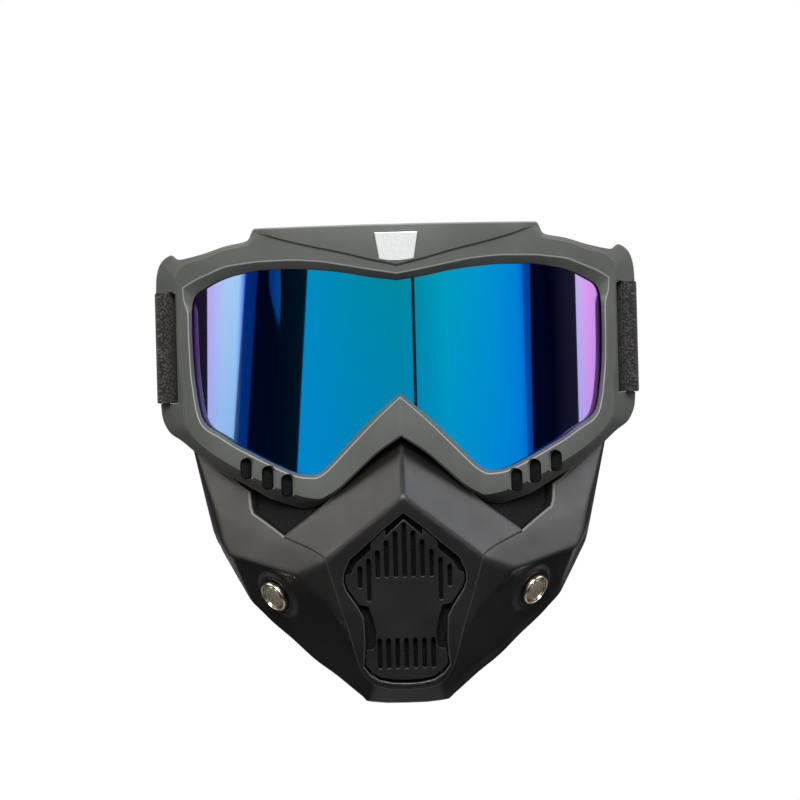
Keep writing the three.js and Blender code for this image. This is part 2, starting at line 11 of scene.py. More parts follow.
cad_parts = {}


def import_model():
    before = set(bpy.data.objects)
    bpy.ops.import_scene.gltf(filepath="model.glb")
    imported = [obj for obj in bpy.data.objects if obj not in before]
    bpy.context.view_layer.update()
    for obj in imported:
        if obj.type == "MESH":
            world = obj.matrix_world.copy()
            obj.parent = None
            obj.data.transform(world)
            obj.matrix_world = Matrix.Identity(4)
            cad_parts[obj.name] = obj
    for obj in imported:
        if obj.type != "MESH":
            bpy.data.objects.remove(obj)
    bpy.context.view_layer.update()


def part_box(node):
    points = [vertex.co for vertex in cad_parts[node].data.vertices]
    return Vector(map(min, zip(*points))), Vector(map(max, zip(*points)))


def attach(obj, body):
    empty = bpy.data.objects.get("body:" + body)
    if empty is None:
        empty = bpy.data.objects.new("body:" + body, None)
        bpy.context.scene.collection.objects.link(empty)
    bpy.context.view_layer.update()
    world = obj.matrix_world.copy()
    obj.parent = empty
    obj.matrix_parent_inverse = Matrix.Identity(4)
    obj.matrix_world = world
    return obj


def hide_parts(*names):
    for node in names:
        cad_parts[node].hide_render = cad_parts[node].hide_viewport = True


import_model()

MM = 0.001


def box_mm(node):
    """A CAD node's lowest and highest corner, in millimetres."""
    return [np.array(corner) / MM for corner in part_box(node)]


# Where the solids lie
LENS_FRONT = box_mm("lens")[0][1]
GUARD_FOOT = box_mm("face_guard")[0][2]
strap_low, strap_high = box_mm("head_strap")
STRAP_BACK = strap_high[1]

# Fits
GAP = 0.3

# Lens
LENS_RADIUS = 96
LENS_WRAP = math.radians(52)
LENS_THICKNESS = 2
LENS_BITE = 3

# Goggle frame
HALF_OPENING = 77
OPENING_HEIGHT = 75.6
LUG_REACH = 15.2
BROW_BORDER = 15
CHEEK_BORDER = 12.3
RIM_PROUD = 4
LIP = 1
EDGE_FALL = 3.5
EDGE_THICKNESS = 3.5
SKIRT_OUT = 6.3
SKIRT_WALL = 2.5
SKIRT_DEPTH = 26
BROW_PLATE_PROUD = 1.1
BROW_PLATE_HALF = 51
STRAP_SLOT_IN = 7.8
BAR_WIDTH = 2.9
STRAP_ROOM = 0.1
SLOT_INNER = 83.4
VENT_WIDTH = 4.3
VENT_DEPTH = 5
VENT_LEAN = 0.6
VENT_CHAMFER = 0.3
VENT_FOAM_BACK = 2.9
FRAME_STEP = 0.9                  # the step just outside the flat face, under the brow plate's edge

# Foam seat
FOAM_DEPTH = 13.7
FOAM_WIDTH = 9
FLEECE_THICKNESS = 2

# Badge
BADGE_TOP_HALF = 7.9
BADGE_FOOT_HALF = 6.3
BADGE_TOP = 39.1
BADGE_FOOT = 29.3
BADGE_BOW = 0.7
BADGE_THICKNESS = 1.2
BADGE_LEAN = 0.09

# Strap
STRAP_WIDTH = strap_high[2] - strap_low[2]
STRAP_THICKNESS = 1.6
LOOP_HALF_BREADTH = 78
STRAP_DOUBLE = 30
STITCH_LENGTH = 2.1
STITCH_PITCH = 3.2
SEAM_IN = 3                       # from the doubled stretch's end to the first row of thread
SEAM_ROWS = (0, 5)

# Face guard
GUARD_WALL = 2.5
PANEL_PROUD = 0.8
GUARD_EDGE = 0.6
CREASE = 0.35
GUARD_GRID = 0.9
SEAT_DISH = 0.35
JAW_SUNK = 1
JAW_STEP = 1.2
GRILLE_SET_BACK = 1.2
GRILLE_THICKNESS = 2
SLOT_WIDTH = 1.5
SLOT_PITCH = 3.25
LINER_THICKNESS = 3
LAP = 2.6                         # how far the cheeks go on under the muzzle panel's side
TUCK = 1.1                        # how deep they are let in there
LAP_END = (41.4, -71)
UNROLL_RADIUS = 70                # the upright drum that the shell is drawn flat on
UNROLL_AXIS = 10

# Rivets
RIVET_RADIUS = 6
RIVET_HEAD = 1.5
RIVET_SIDES = 64
SEAT_ROUND = 1.6                  # flat seat left round a rivet's head

# Half of the frame's ring, from the brow's middle down the side and back along the cheek edge to the nose.
# open: the opening's edge, as shares of half the opening's width and of its height.
# rim, face, edge: steps out and up from there, as shares of LUG_REACH and of the brow or cheek border.
# proud: the front face, in shares of RIM_PROUD. fall: the outer edge, in shares of EDGE_FALL.
BROW_ROWS = [
    (0.000, 0.287, 0.00, 0.16, 0.00, 0.33, 0.00, 1.36, 1.0, -1.3),
    (0.130, 0.306, 0.00, 0.18, 0.00, 0.39, 0.00, 1.27, 1.0, -1.3),
    (0.260, 0.332, 0.00, 0.18, 0.00, 0.44, 0.00, 1.14, 1.0, -1.3),
    (0.391, 0.349, -0.07, 0.20, 0.06, 0.53, 0.14, 1.06, 1.0, -1.3),
    (0.523, 0.358, 0.00, 0.21, 0.06, 0.67, 0.14, 1.02, 1.0, -1.3),
    (0.644, 0.358, 0.06, 0.21, 0.06, 0.86, 0.14, 1.03, 1.0, -1.2),
    (0.698, 0.353, 0.13, 0.21, 0.06, 0.66, 0.07, 0.77, 1.0, -0.9),
    (0.793, 0.337, 0.13, 0.24, 0.13, 0.66, 0.15, 0.75, 1.0, -0.8),
    (0.863, 0.316, 0.23, 0.19, 0.34, 0.59, 0.37, 0.71, 1.0, -0.6),
    (0.926, 0.286, 0.27, 0.21, 0.49, 0.63, 0.66, 0.77, 1.0, -0.3),
    (0.970, 0.261, 0.24, 0.24, 0.50, 0.56, 0.68, 1.03, 1.0, 0.2),
    (0.988, 0.234, 0.28, 0.28, 0.48, 0.53, 0.88, 0.98, 1.0, 0.2),
    (0.997, 0.200, 0.21, 0.14, 0.36, 0.39, 0.96, 0.74, 1.0, 0.1),
]
CHEEK_ROWS = [
    (1.000, 0.160, 0.10, 0.00, 0.28, 0.14, 0.97, 0.39, 1.0, 0.1),
    (1.001, 0.050, 0.09, 0.00, 0.30, 0.00, 0.98, 0.04, 1.0, 0.1),
    (0.996, -0.114, 0.09, 0.00, 0.30, 0.00, 1.03, -0.07, 1.0, 0.1),
    (0.983, -0.236, 0.09, -0.04, 0.27, -0.08, 1.00, -0.08, 1.0, 0.1),
    (0.971, -0.311, 0.09, -0.04, 0.37, 0.00, 1.03, -0.17, 1.0, 0.4),
    (0.957, -0.359, 0.08, -0.07, 0.42, -0.14, 0.93, -0.37, 1.0, 0.7),
    (0.931, -0.394, 0.06, -0.10, 0.36, -0.35, 0.69, -0.49, 1.0, 1.0),
    (0.863, -0.437, 0.03, -0.11, 0.34, -0.49, 0.59, -0.67, 1.0, 1.0),
    (0.793, -0.486, 0.02, -0.10, 0.34, -0.48, 0.54, -0.73, 1.0, 1.0),
    (0.725, -0.522, 0.02, -0.10, 0.26, -0.56, 0.35, -0.88, 1.0, 1.0),
    (0.657, -0.559, 0.01, -0.10, 0.19, -0.60, 0.25, -0.95, 1.0, 1.0),
    (0.590, -0.593, 0.01, -0.10, 0.09, -0.64, 0.14, -1.04, 1.0, 1.0),
    (0.523, -0.624, 0.00, -0.10, 0.04, -0.62, 0.07, -1.01, 1.0, 1.0),
    (0.470, -0.638, -0.01, -0.10, -0.07, -0.69, -0.02, -1.03, 1.0, 0.9),
    (0.421, -0.641, -0.03, -0.10, -0.13, -0.72, -0.05, -0.96, 1.0, 0.5),
    (0.391, -0.632, -0.05, -0.08, -0.17, -0.68, -0.20, -0.80, 1.0, 0.0),
    (0.361, -0.610, -0.06, -0.07, -0.26, -0.62, -0.32, -0.67, 1.05, -0.6),
    (0.260, -0.503, -0.07, -0.08, -0.22, -0.75, -0.24, -0.83, 1.2, -0.9),
    (0.130, -0.370, -0.07, -0.08, -0.11, -0.97, -0.13, -1.04, 1.6, -1.4),
    (0.000, -0.257, 0.00, -0.11, 0.00, -1.22, 0.00, -1.29, 2.0, -1.9),
]

# Frame vents: the middle across, the top and the foot.
FRAME_VENTS = [(57.4, -42.0, -49.8), (49.3, -45.0, -53.7), (42.2, -48.2, -56.5)]

# Flat faces of the guard's outside. Each passes through a point (across, behind the lens's front, up) and
# slopes back by the last two numbers for each millimetre across and for each millimetre of height.
GUARD_FACES = {
    "brow of the muzzle": (0, -17, -56.5, 0.724, 0.729),
    "front of the muzzle": (0, -17, -56.5, 0, -0.191),
    "side of the muzzle": (28.4, -12.6, -79.4, 0.588, -0.246),
    "cheek": (43.8, 3.9, -71.2, 0.858, 0.394),
    "cheek's turn": (71, 31.7, -60, 2.6, 0.016),
    "jaw": (48, 11.5, -93, 1.195, -0.843),
    "jaw's turn": (68.7, 43.5, -80, 6, -2.67),
    "flank": (75, 40, -53.4, 12, -2.6),
    "chin": (0, -3.5, -127.7, 0.135, -1.158),
}

# The muzzle panel's outline seen from the front: its top edge from the apex out to the notch's tip, then
# its side ridge from there down to the middle of its foot.
PANEL_TOP = [
    (0, -33), (8, -38.5), (16, -46), (22, -52.5), (27, -57.8), (31.8, -61.8), (42.8, -69.9), (43.8, -71.2),
]
PANEL_SIDE = [
    (43.8, -71.2), (34.5, -75.1), (30.7, -77.3), (29, -78.7), (28.4, -80.7), (26.5, -87.4), (23.8, -96.7),
    (21.2, -104.8), (18.9, -113.5), (17.3, -119), (15.3, -123.1), (12.7, -125.7), (6.7, -127.4), (0, -127.8),
]

# The vent's opening seen from the front, from its apex to its shoulder and on to its foot.
VENT_TOP = [(0, -62.8), (6.6, -67.9), (13.1, -73.6), (19.8, -79.4), (21.8, -83.9)]
VENT_SIDE = [
    (21.8, -83.9), (22.2, -87.4), (21.1, -90.7), (17.2, -96.7), (15.2, -100.7), (14.9, -106.5),
    (14.9, -111.5), (15.4, -116.6), (15.6, -118.6), (13.2, -121.6), (10, -123.6), (5.3, -124.7), (0, -124.9),
]

# The side wing's top edge seen from the front, from the notch's tip to where the frame hides it.
WING_TOP = [
    (43.8, -71.2), (50.5, -66.5), (56.4, -62.6), (57.3, -60.2), (57.9, -54.7), (61.5, -52.5), (70.7, -45.5),
    (74.5, -38), (77, -36),
]

# The guard's rear and lower edge seen from the side (behind the lens's front, up), from the top down.
GUARD_RIM = [
    (58.5, -36), (59.5, -48), (60, -60), (54, -73), (48, -77), (41, -81.8), (36.6, -86.8), (30.5, -92.7),
    (26.6, -97.7), (24.3, -103.6), (20.5, -110), (17, -117.3), (12, -123), (7.5, -129.6), (5, -132.6),
]

# The grille's outline, from its apex out over the shoulder and waist to its foot.
GRILLE_OUTLINE = [
    (0, -65.2), (6.6, -71.1), (6.6, -68.6), (12.2, -73.3), (12.2, -76), (17.5, -80.6), (19.5, -84.6),
    (21.4, -85.2), (21.8, -87.4), (20.8, -90.4), (17, -96.2), (13.5, -97), (12.2, -101), (11.1, -106),
    (11.3, -111), (12.2, -112.5), (14.5, -112.8), (15.2, -118.1), (13, -121), (9.9, -123.1), (5.3, -124),
    (0, -124.2),
]
# Slots by place from the middle: top and foot.
UPPER_SLOTS = [(-66.5, -86.3), (-69.5, -86.3), (-72.7, -86.3), (-76.4, -86.3), (-79.4, -94.9), (-82, -90)]
LOWER_SLOT = (-108.7, -119.8)
LOWER_SLOTS = 4

# The lining's outline, from its top middle along the frame's lower edge, round the notch, to its foot.
LINER_OUTLINE = [
    (0, -56), (15, -57), (24, -56.5), (28.5, -57.8), (32.5, -59.8), (36.5, -60.4), (41.5, -59.2),
    (47.5, -57.2), (54.5, -53.6), (61, -49.9), (66, -47.6), (69.3, -45.4),
    (70, -53), (58, -70), (46, -78), (33, -84), (26, -100), (19.5, -114), (17, -121), (12.5, -126), (0, -127),
]


def wrap(x):
    """How far the wrapped lens has turned back from its front, at x across."""
    end = LENS_RADIUS * math.sin(LENS_WRAP)
    across = np.minimum(np.abs(x), end)
    straight = np.maximum(np.abs(x) - end, 0)
    return LENS_RADIUS - np.sqrt(LENS_RADIUS ** 2 - across ** 2) + straight * math.tan(LENS_WRAP)


def eased(rows, steps):
    """Rows of numbers joined by smooth curves that don't overshoot, with steps rows for each one given."""
    rows = np.array(rows, float)
    rise = np.diff(rows, axis=0)
    slope = np.zeros_like(rows)
    slope[0], slope[-1] = rise[0], rise[-1]
    before, after = rise[:-1], rise[1:]
    same = before * after > 0
    slope[1:-1][same] = 2 * (before * after)[same] / (before + after)[same]
    t = (np.arange(steps) / steps)[None, :, None]
    a, b, m, n = rows[:-1, None], rows[1:, None], slope[:-1, None], slope[1:, None]
    curve = (
        a * (2 * t ** 3 - 3 * t ** 2 + 1) + b * (3 * t ** 2 - 2 * t ** 3)
        + m * (t ** 3 - 2 * t ** 2 + t) + n * (t ** 3 - t ** 2)
    )
    return np.vstack([curve.reshape(-1, rows.shape[1]), rows[-1:]])


def along(points, shares):
    """Places on a line of points, at shares of its length."""
    points = np.array(points, float)
    run = np.append(0, np.cumsum(np.linalg.norm(np.diff(points, axis=0), axis=1)))
    return np.stack([np.interp(np.array(shares) * run[-1], run, column) for column in points.T], axis=-1)


def mirrored(half):
    """A half outline with its mirror image, as one closed outline."""
    half = np.array(half, float)
    other = half[1:-1][::-1] * np.where(np.arange(half.shape[1]) == 0, -1, 1)
    return np.vstack([half, other])


def reach_to(points, line):
    """Each point's distance to a line of points."""
    line = np.array(line, float)
    start, step = line[:-1], np.diff(line, axis=0)
    share = ((points[:, None] - start) * step).sum(-1) / (step ** 2).sum(-1)
    nearest = start + np.clip(share, 0, 1)[..., None] * step
    return np.linalg.norm(points[:, None] - nearest, axis=-1).min(axis=1)


def finish_mesh(mesh, sharp):
    mesh.shade_smooth()
    mesh.set_sharp_from_angle(angle=math.radians(sharp))


def placed(name, data):
    """A mesh, curve, light or camera as an object in the scene."""
    made = bpy.data.objects.new(name, data)
    bpy.context.scene.collection.objects.link(made)
    return made


def mesh_of(name, points, faces):
    """A mesh from points in metres."""
    mesh = bpy.data.meshes.new(name)
    mesh.from_pydata(np.asarray(points).tolist(), [], [list(face) for face in faces])
    return mesh


def closed_mesh(name, points, faces, weld=0):
    """A closed mesh from points in millimetres, its points welded and its faces turned outwards."""
    mesh = mesh_of(name, np.asarray(points) * MM, faces)
    shape = bmesh.new()
    shape.from_mesh(mesh)
    if weld:
        bmesh.ops.remove_doubles(shape, verts=shape.verts, dist=weld * MM)
        bmesh.ops.dissolve_degenerate(shape, edges=shape.edges, dist=weld * MM)
    bmesh.ops.recalc_face_normals(shape, faces=shape.faces)
    shape.to_mesh(mesh)
    shape.free()
    return mesh


def piece(name, points, faces, *finish, **more):
    """A named piece from points in millimetres."""
    return settle(placed(name, closed_mesh(name, points, faces, weld=0.002)), *finish, **more)


def settle(made, material, slot, stands_for=(), sharp=40):
    """Finishes a piece: shading, material, what it rides on and the CAD nodes that it stands for. The slot is
    not used.
    """
    finish_mesh(made.data, sharp)
    made.data.materials.clear()
    made.data.materials.append(material)
    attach(made, "root")
    if stands_for:
        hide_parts(*stands_for)
    return made


def grid_faces(rows, columns, close_rows=False, close_columns=False, start=0):
    """Four-sided faces over a grid of points, closed round either way where asked."""
    faces = []
    for i in range(rows if close_rows else rows - 1):
        for j in range(columns if close_columns else columns - 1):
            k, m = (i + 1) % rows, (j + 1) % columns
            faces.append([start + i * columns + j, start + i * columns + m,
                          start + k * columns + m, start + k * columns + j])
    return faces


def ring_piece(name, sections, *finish, **more):
    """A closed ring with a closed section at each station."""
    stations, corners, _ = sections.shape
    faces = grid_faces(stations, corners, close_rows=True, close_columns=True)
    return piece(name, sections.reshape(-1, 3), faces, *finish, **more)


def cut(made, cutters):
    """Cuts closed meshes, given as (points, faces), out of a piece."""
    for points, faces in cutters:
        mesh = closed_mesh("cutter", points, faces)
        cutter = placed("cutter", mesh)
        modifier = made.modifiers.new("cut", "BOOLEAN")
        modifier.operation, modifier.solver, modifier.object = "DIFFERENCE", "EXACT", cutter
        bake(made)
        bpy.data.objects.remove(cutter)
        bpy.data.meshes.remove(mesh)


def bake(made):
    """Applies a piece's modifiers to its mesh."""
    seen = made.evaluated_get(bpy.context.evaluated_depsgraph_get())
    old = made.data
    made.data = bpy.data.meshes.new_from_object(seen)
    made.modifiers.clear()
    bpy.data.meshes.remove(old)


def mark_arris(made, points, shares):
    """Notes how strongly a piece's arrises are painted paler as a painted highlight: shares of the full
    highlight at points in millimetres, else none.
    """
    tree = KDTree(len(points))
    for i, point in enumerate(points * MM):
        tree.insert(point, i)
    tree.balance()
    wear_and_highlight = made.data.attributes.new("arris", "FLOAT", "POINT")
    for i, corner in enumerate(made.data.vertices):
        _, nearest, far = tree.find(corner.co)
        wear_and_highlight.data[i].value = shares[nearest] if far < 0.02 * MM else 0


def tapered_prism(outline, levels):
    """An outline in X and Z carried back along Y. levels: (place along Y, how far the outline spreads)."""
    outline = np.array(outline, float)
    middle = outline.mean(axis=0)
    count = len(outline)
    points = []
    for y, spread in levels:
        away = outline - middle
        grown = outline + away / np.linalg.norm(away, axis=1, keepdims=True) * spread
        points += [(x, y, z) for x, z in grown]
    faces = grid_faces(len(levels), count, close_columns=True)
    last = (len(levels) - 1) * count
    return points, faces + [list(range(count)), list(range(last, last + count))]


# Goggle frame

def frame_stations(steps=8):
    """Places round the whole frame in millimetres: open, rim, face and edge points, proud and fall."""
    rows = []
    for table, border in ((BROW_ROWS, BROW_BORDER), (CHEEK_ROWS, CHEEK_BORDER)):
        for open_x, open_z, *places, proud, fall in table:
            x, z = open_x * HALF_OPENING, open_z * OPENING_HEIGHT
            steps_out = [
                value for i in range(0, 6, 2)
                for value in (x + places[i] * LUG_REACH, z + places[i + 1] * border)
            ]
            rows.append((x, z, *steps_out, proud * RIM_PROUD, fall * EDGE_FALL))
    half = eased(rows, steps)
    flip = np.array([-1, 1] * 4 + [1, 1])
    full = np.vstack([half, half[1:-1][::-1] * flip])
    return {
        "open": full[:, 0:2], "rim": full[:, 2:4], "face": full[:, 4:6], "edge": full[:, 6:8],
        "proud": full[:, 8], "fall": full[:, 9],
    }


def on_lens(place, back):
    """Points at (across, up), set back from the lens's face."""
    return np.column_stack([place[:, 0], LENS_FRONT + wrap(place[:, 0]) + back, place[:, 1]])


def outward(stations, out, back):
    """Points out from the opening's edge towards the outer edge, set back from the lens's face."""
    way = stations["edge"] - stations["open"]
    way = way / np.linalg.norm(way, axis=1, keepdims=True)
    return on_lens(stations["open"] + way * out, back)


def rounded_sections(corners):
    """Sections from (points, corner radius) pairs, each corner rounded by a short curve."""
    points = np.stack([place for place, _ in corners], axis=1)
    made = []
    for j, (_, radius) in enumerate(corners):
        here = points[:, j]
        if radius == 0:
            made.append(here)
            continue
        ends = []
        for other in (points[:, j - 1], points[:, (j + 1) % len(corners)]):
            way = other - here
            length = np.linalg.norm(way, axis=1, keepdims=True)
            ends.append(here + way / np.maximum(length, 1e-6) * np.minimum(radius, length * 0.45))
        for t in (0, 1 / 3, 2 / 3, 1):
            made.append(ends[0] * (1 - t) ** 2 + here * 2 * t * (1 - t) + ends[1] * t ** 2)
    return np.stack(made, axis=1)


def slot_block(x0, x1, half):
    """A block through the frame from front to back, for the strap."""
    corners = [(x0, -half), (x1, -half), (x1, half), (x0, half)]
    return tapered_prism(corners, [(-80, 0), (80, 0)])


def vent_outline(side, across, top, foot, half):
    """A vent with a round top and softer lower corners."""
    turn = np.linspace(0, math.pi, 9)
    arch = [(side * across + half * math.cos(a), top - half + half * math.sin(a)) for a in turn]
    corner = half * 0.5
    bowl = [
        (side * across - half, foot + corner), (side * across - half * 0.85, foot + corner * 0.3),
        (side * across - corner, foot), (side * across + corner, foot),
        (side * across + half * 0.85, foot + corner * 0.3), (side * across + half, foot + corner),
    ]
    return arch + bowl


def vent_cutter(side, across, top, foot):
    """A slot with a rounded top, chamfered where it meets the frame's face."""
    outline = vent_outline(side, across, top, foot, VENT_WIDTH / 2)
    face = LENS_FRONT + wrap(across) - RIM_PROUD
    points, faces = tapered_prism(outline, [
        (face - 6, VENT_CHAMFER), (face - 0.2, VENT_CHAMFER),
        (face + VENT_CHAMFER, 0), (face + VENT_DEPTH, 0),
    ])
    lean = [(VENT_LEAN if across > side * x and y < face else 0) for x, y, _ in points]
    return [(x - side * more, y, z) for (x, y, z), more in zip(points, lean)], faces


def goggle_frame(material):
    """The moulding: rim, face, brow plate, outer edge, skirt and the groove that holds the lens."""
    st = frame_stations()
    groove, behind = LENS_BITE + GAP, LENS_THICKNESS + GAP
    plate = np.clip((BROW_PLATE_HALF - np.abs(st["face"][:, 0])) / 5, 0, 1) * (st["face"][:, 1] > 20)
    plate = plate * BROW_PLATE_PROUD
    way = st["edge"] - st["face"]
    length = np.linalg.norm(way, axis=1)
    step = st["face"] + way / np.maximum(length, 1e-6)[:, None] * FRAME_STEP
    share = FRAME_STEP / np.maximum(length, 2 * FRAME_STEP)
    slope = (-st["proud"]) * (1 - share) + st["fall"] * share
    edge_out = on_lens(st["edge"], st["fall"] - plate * 0.6)
    sections = rounded_sections([
        (outward(st, 0, -LIP), 0.3),
        (on_lens(st["rim"], -st["proud"]), 0.45),
        (on_lens(st["face"], -st["proud"]), 0.25),
        (on_lens(step, slope - plate), 0.3),
        (edge_out, 0.7),
        (on_lens(st["edge"], st["fall"] + EDGE_THICKNESS), 0.9),
        (outward(st, SKIRT_OUT, np.maximum(st["fall"], 0) + EDGE_THICKNESS), 1.2),
        (outward(st, SKIRT_OUT, SKIRT_DEPTH), 0.5),
        (outward(st, SKIRT_OUT - SKIRT_WALL, SKIRT_DEPTH), 0.5),
        (outward(st, SKIRT_OUT - SKIRT_WALL, behind + SKIRT_WALL), 0.8),
        (outward(st, GAP, behind + SKIRT_WALL), 0.5),
        (outward(st, GAP, behind), 0),
        (outward(st, groove, behind), 0),
        (outward(st, groove, -GAP), 0),
        (outward(st, 0, -GAP), 0),
    ])
    made = ring_piece("frame_moulding", sections, material, "frame_rubber", ("goggle_frame",), sharp=50)
    bar = HALF_OPENING + STRAP_SLOT_IN + STRAP_THICKNESS + 2 * GAP
    half = STRAP_WIDTH / 2 + STRAP_ROOM
    cutters = []
    for side in (-1, 1):
        for inner, outer in ((SLOT_INNER, bar), (bar + BAR_WIDTH, bar + BAR_WIDTH + LUG_REACH)):
            cutters.append(slot_block(*sorted((side * inner, side * outer)), half))
        cutters += [vent_cutter(side, *vent) for vent in FRAME_VENTS]
    cut(made, cutters)
    finish_mesh(made.data, 50)
    # Two section points on each arris that carries a painted highlight: the rim's, those each side of the
    # brow plate's step, and the edge's.
    painted_highlight = {5: 1, 6: 1, 9: 0.3, 10: 0.3, 13: 0.3, 14: 0.3, 17: 0.7, 18: 0.7}
    mark_arris(made, sections[:, list(painted_highlight)].reshape(-1, 3), np.tile(list(painted_highlight.values()), len(sections)))


def vent_foam(material):
    """Foam behind each of the frame's vents."""
    points, faces = [], []
    for side in (-1, 1):
        for across, top, foot in FRAME_VENTS:
            outline = vent_outline(side, across, top - GAP / 2, foot + GAP / 2, (VENT_WIDTH - GAP) / 2)
            face = LENS_FRONT + wrap(across) - RIM_PROUD
            plug, plug_faces = tapered_prism(outline, [
                (face + VENT_FOAM_BACK - 0.3, -0.5), (face + VENT_FOAM_BACK, 0), (face + VENT_DEPTH, 0),
            ])
            faces += [[i + len(points) for i in one] for one in plug_faces]
            points += plug
    made = piece("vent_foam", points, faces, material, "liner_foam", sharp=60)


def lens(material):
    """The curved plate, drawn in upright strips so that its mirror stays true."""
    st = frame_stations()
    outline = outward(st, LENS_BITE, 0)[:, [0, 2]]
    half = outline[: len(outline) // 2 + 1]
    widest = int(np.argmax(half[:, 0]))
    top, foot = half[: widest + 1], half[widest:][::-1]
    share = np.sin(np.linspace(-math.pi / 2, math.pi / 2, 181))
    across = share * half[widest, 0]
    upper = np.interp(np.abs(across), top[:, 0], top[:, 1])
    lower = np.interp(np.abs(across), foot[:, 0], foot[:, 1])
    rows = np.linspace(0, 1, 25)
    z = lower[:, None] * (1 - rows) + upper[:, None] * rows
    x = np.repeat(across[:, None], len(rows), axis=1)
    y = LENS_FRONT + wrap(x)
    front = np.stack([x, y, z], axis=-1).reshape(-1, 3)
    back = front + (0, LENS_THICKNESS, 0)
    count, width = len(across), len(rows)
    size = count * width
    faces = grid_faces(count, width) + grid_faces(count, width, start=size)
    border = [i * width for i in range(count)]
    border += [(count - 1) * width + j for j in range(1, width)]
    border += [i * width + width - 1 for i in range(count - 2, -1, -1)]
    border += [j for j in range(width - 2, 0, -1)]
    for a, b in zip(border, border[1:] + border[:1]):
        faces.append([a, b, b + size, a + size])
    piece("lens_plate", np.vstack([front, back]), faces, material, "lens_mirror", ("lens",), sharp=60)


def face_foam(material, fleece):
    """The foam seat behind the skirt, with a thin fleece face on its back."""
    st = frame_stations(5)
    inner, front = SKIRT_OUT - FOAM_WIDTH, SKIRT_DEPTH + GAP
    join = front + FOAM_DEPTH - FLEECE_THICKNESS
    middle = (SKIRT_OUT + inner) / 2
    foam = rounded_sections([
        (outward(st, inner, front), 0.6),
        (outward(st, SKIRT_OUT, front), 0.6),
        (outward(st, SKIRT_OUT + 0.5, (front + join) / 2), 4),
        (outward(st, SKIRT_OUT, join), 0.8),
        (outward(st, inner, join), 0.8),
        (outward(st, inner - 0.5, (front + join) / 2), 4),
    ])
    face = rounded_sections([
        (outward(st, inner + 0.4, join + 0.05), 0.4),
        (outward(st, SKIRT_OUT - 0.4, join + 0.05), 0.4),
        (outward(st, SKIRT_OUT - 0.6, join + FLEECE_THICKNESS * 0.75), 1),
        (outward(st, middle, join + FLEECE_THICKNESS), 3),
        (outward(st, inner + 0.6, join + FLEECE_THICKNESS * 0.75), 1),
    ])
    seat = ring_piece("foam_seat", foam, material, "seat_foam", ("face_foam",), sharp=60)
    skin = ring_piece("foam_fleece", face, fleece, "seat_foam", sharp=60)


# Moulded walls

def flat_plate(name, outlines, thickness, bevel):
    """A flat plate with rounded edges from closed outlines in millimetres, the first outside the rest."""
    curve = bpy.data.curves.new(name, "CURVE")
    curve.dimensions, curve.fill_mode = "2D", "BOTH"
    for outline in outlines:
        spline = curve.splines.new("POLY")
        spline.points.add(len(outline) - 1)
        for point, (x, y) in zip(spline.points, outline):
            point.co = (x * MM, y * MM, 0, 1)
        spline.use_cyclic_u = True
    curve.offset = -bevel * MM
    curve.extrude = (thickness / 2 - bevel) * MM
    curve.bevel_depth = bevel * MM
    curve.bevel_resolution = 2
    drawn = placed(name, curve)
    mesh = bpy.data.meshes.new_from_object(drawn.evaluated_get(bpy.context.evaluated_depsgraph_get()))
    bpy.data.objects.remove(drawn)
    bpy.data.curves.remove(curve)
    return placed(name, mesh)


def laid(made, spacing, place, painted_highlight=1.0):
    """Cuts a flat plate into small faces and lays it on a form. place turns (across, up) and depth to points.
    The last argument says how strongly the arris round its front is painted paler, a painted highlight."""
    shape = bmesh.new()
    shape.from_mesh(made.data)
    corners = np.array([v.co[:2] for v in shape.verts])
    for axis, way in enumerate(((1, 0, 0), (0, 1, 0))):
        for at in np.arange(corners[:, axis].min(), corners[:, axis].max(), spacing * MM)[1:]:
            everything = shape.verts[:] + shape.edges[:] + shape.faces[:]
            bmesh.ops.bisect_plane(shape, geom=everything, dist=1e-6, plane_co=Vector(way) * at, plane_no=way)
    flat = np.array([v.co[:] for v in shape.verts]) / MM
    depth = flat[:, 2].max() - flat[:, 2]
    wear_and_highlight = shape.verts.layers.float.new("arris")
    for v, deep, point in zip(shape.verts, depth, place(flat[:, :2], depth)):
        v.co = point * MM
        # The rounded front arris takes the painted highlight, the rest none.
        v[wear_and_highlight] = painted_highlight if 0.02 < deep < GUARD_EDGE * 0.7 else 0.0
    bmesh.ops.recalc_face_normals(shape, faces=shape.faces)
    shape.to_mesh(made.data)
    shape.free()
    return made


# Face guard

def guard_planes():
    """Outward normals of the guard's faces, both sides, with how far out each plane lies and its name."""
    normals, places, names = [], [], []
    for name, (across, back, up, out, rise) in GUARD_FACES.items():
        for side in ((1, -1) if out else (1,)):
            normal = np.array([side * out, -1, rise])
            normal = normal / np.linalg.norm(normal)
            normals.append(normal)
            places.append(normal @ (side * across, LENS_FRONT + back, up))
            names.append(name)
    return np.array(normals), np.array(places), np.array(names)


NORMALS, PLACES, NAMES = guard_planes()


def march(points, way, depth, turns=14):
    """Moves points along a way to the guard's outside, sunk in by a depth. Creases are rounded by CREASE."""
    for _ in range(turns):
        height = points @ NORMALS.T - PLACES
        top = height.max(axis=1, keepdims=True)
        weight = np.exp((height - top) / CREASE)
        total = weight.sum(axis=1, keepdims=True)
        value = (top + CREASE * np.log(total)).ravel() + depth
        slope = ((weight / total) @ NORMALS * way).sum(axis=1)
        points = points - way * np.clip(value / slope, -20, 20)[:, None]
    return points


def on_front(places, depth=0):
    """Points of the guard seen from the front at (across, up)."""
    places = np.array(places, float)
    start = np.column_stack([places[:, 0], np.full(len(places), 40.0), places[:, 1]])
    return march(start, np.array([0.0, -1.0, 0.0]), depth)


def on_side(places, depth=0):
    """Points of the guard seen from the side at (behind the lens's front, up)."""
    places = np.array(places, float)
    start = np.column_stack([np.full(len(places), 90.0), LENS_FRONT + places[:, 0], places[:, 1]])
    return march(start, np.array([1.0, 0.0, 0.0]), depth)


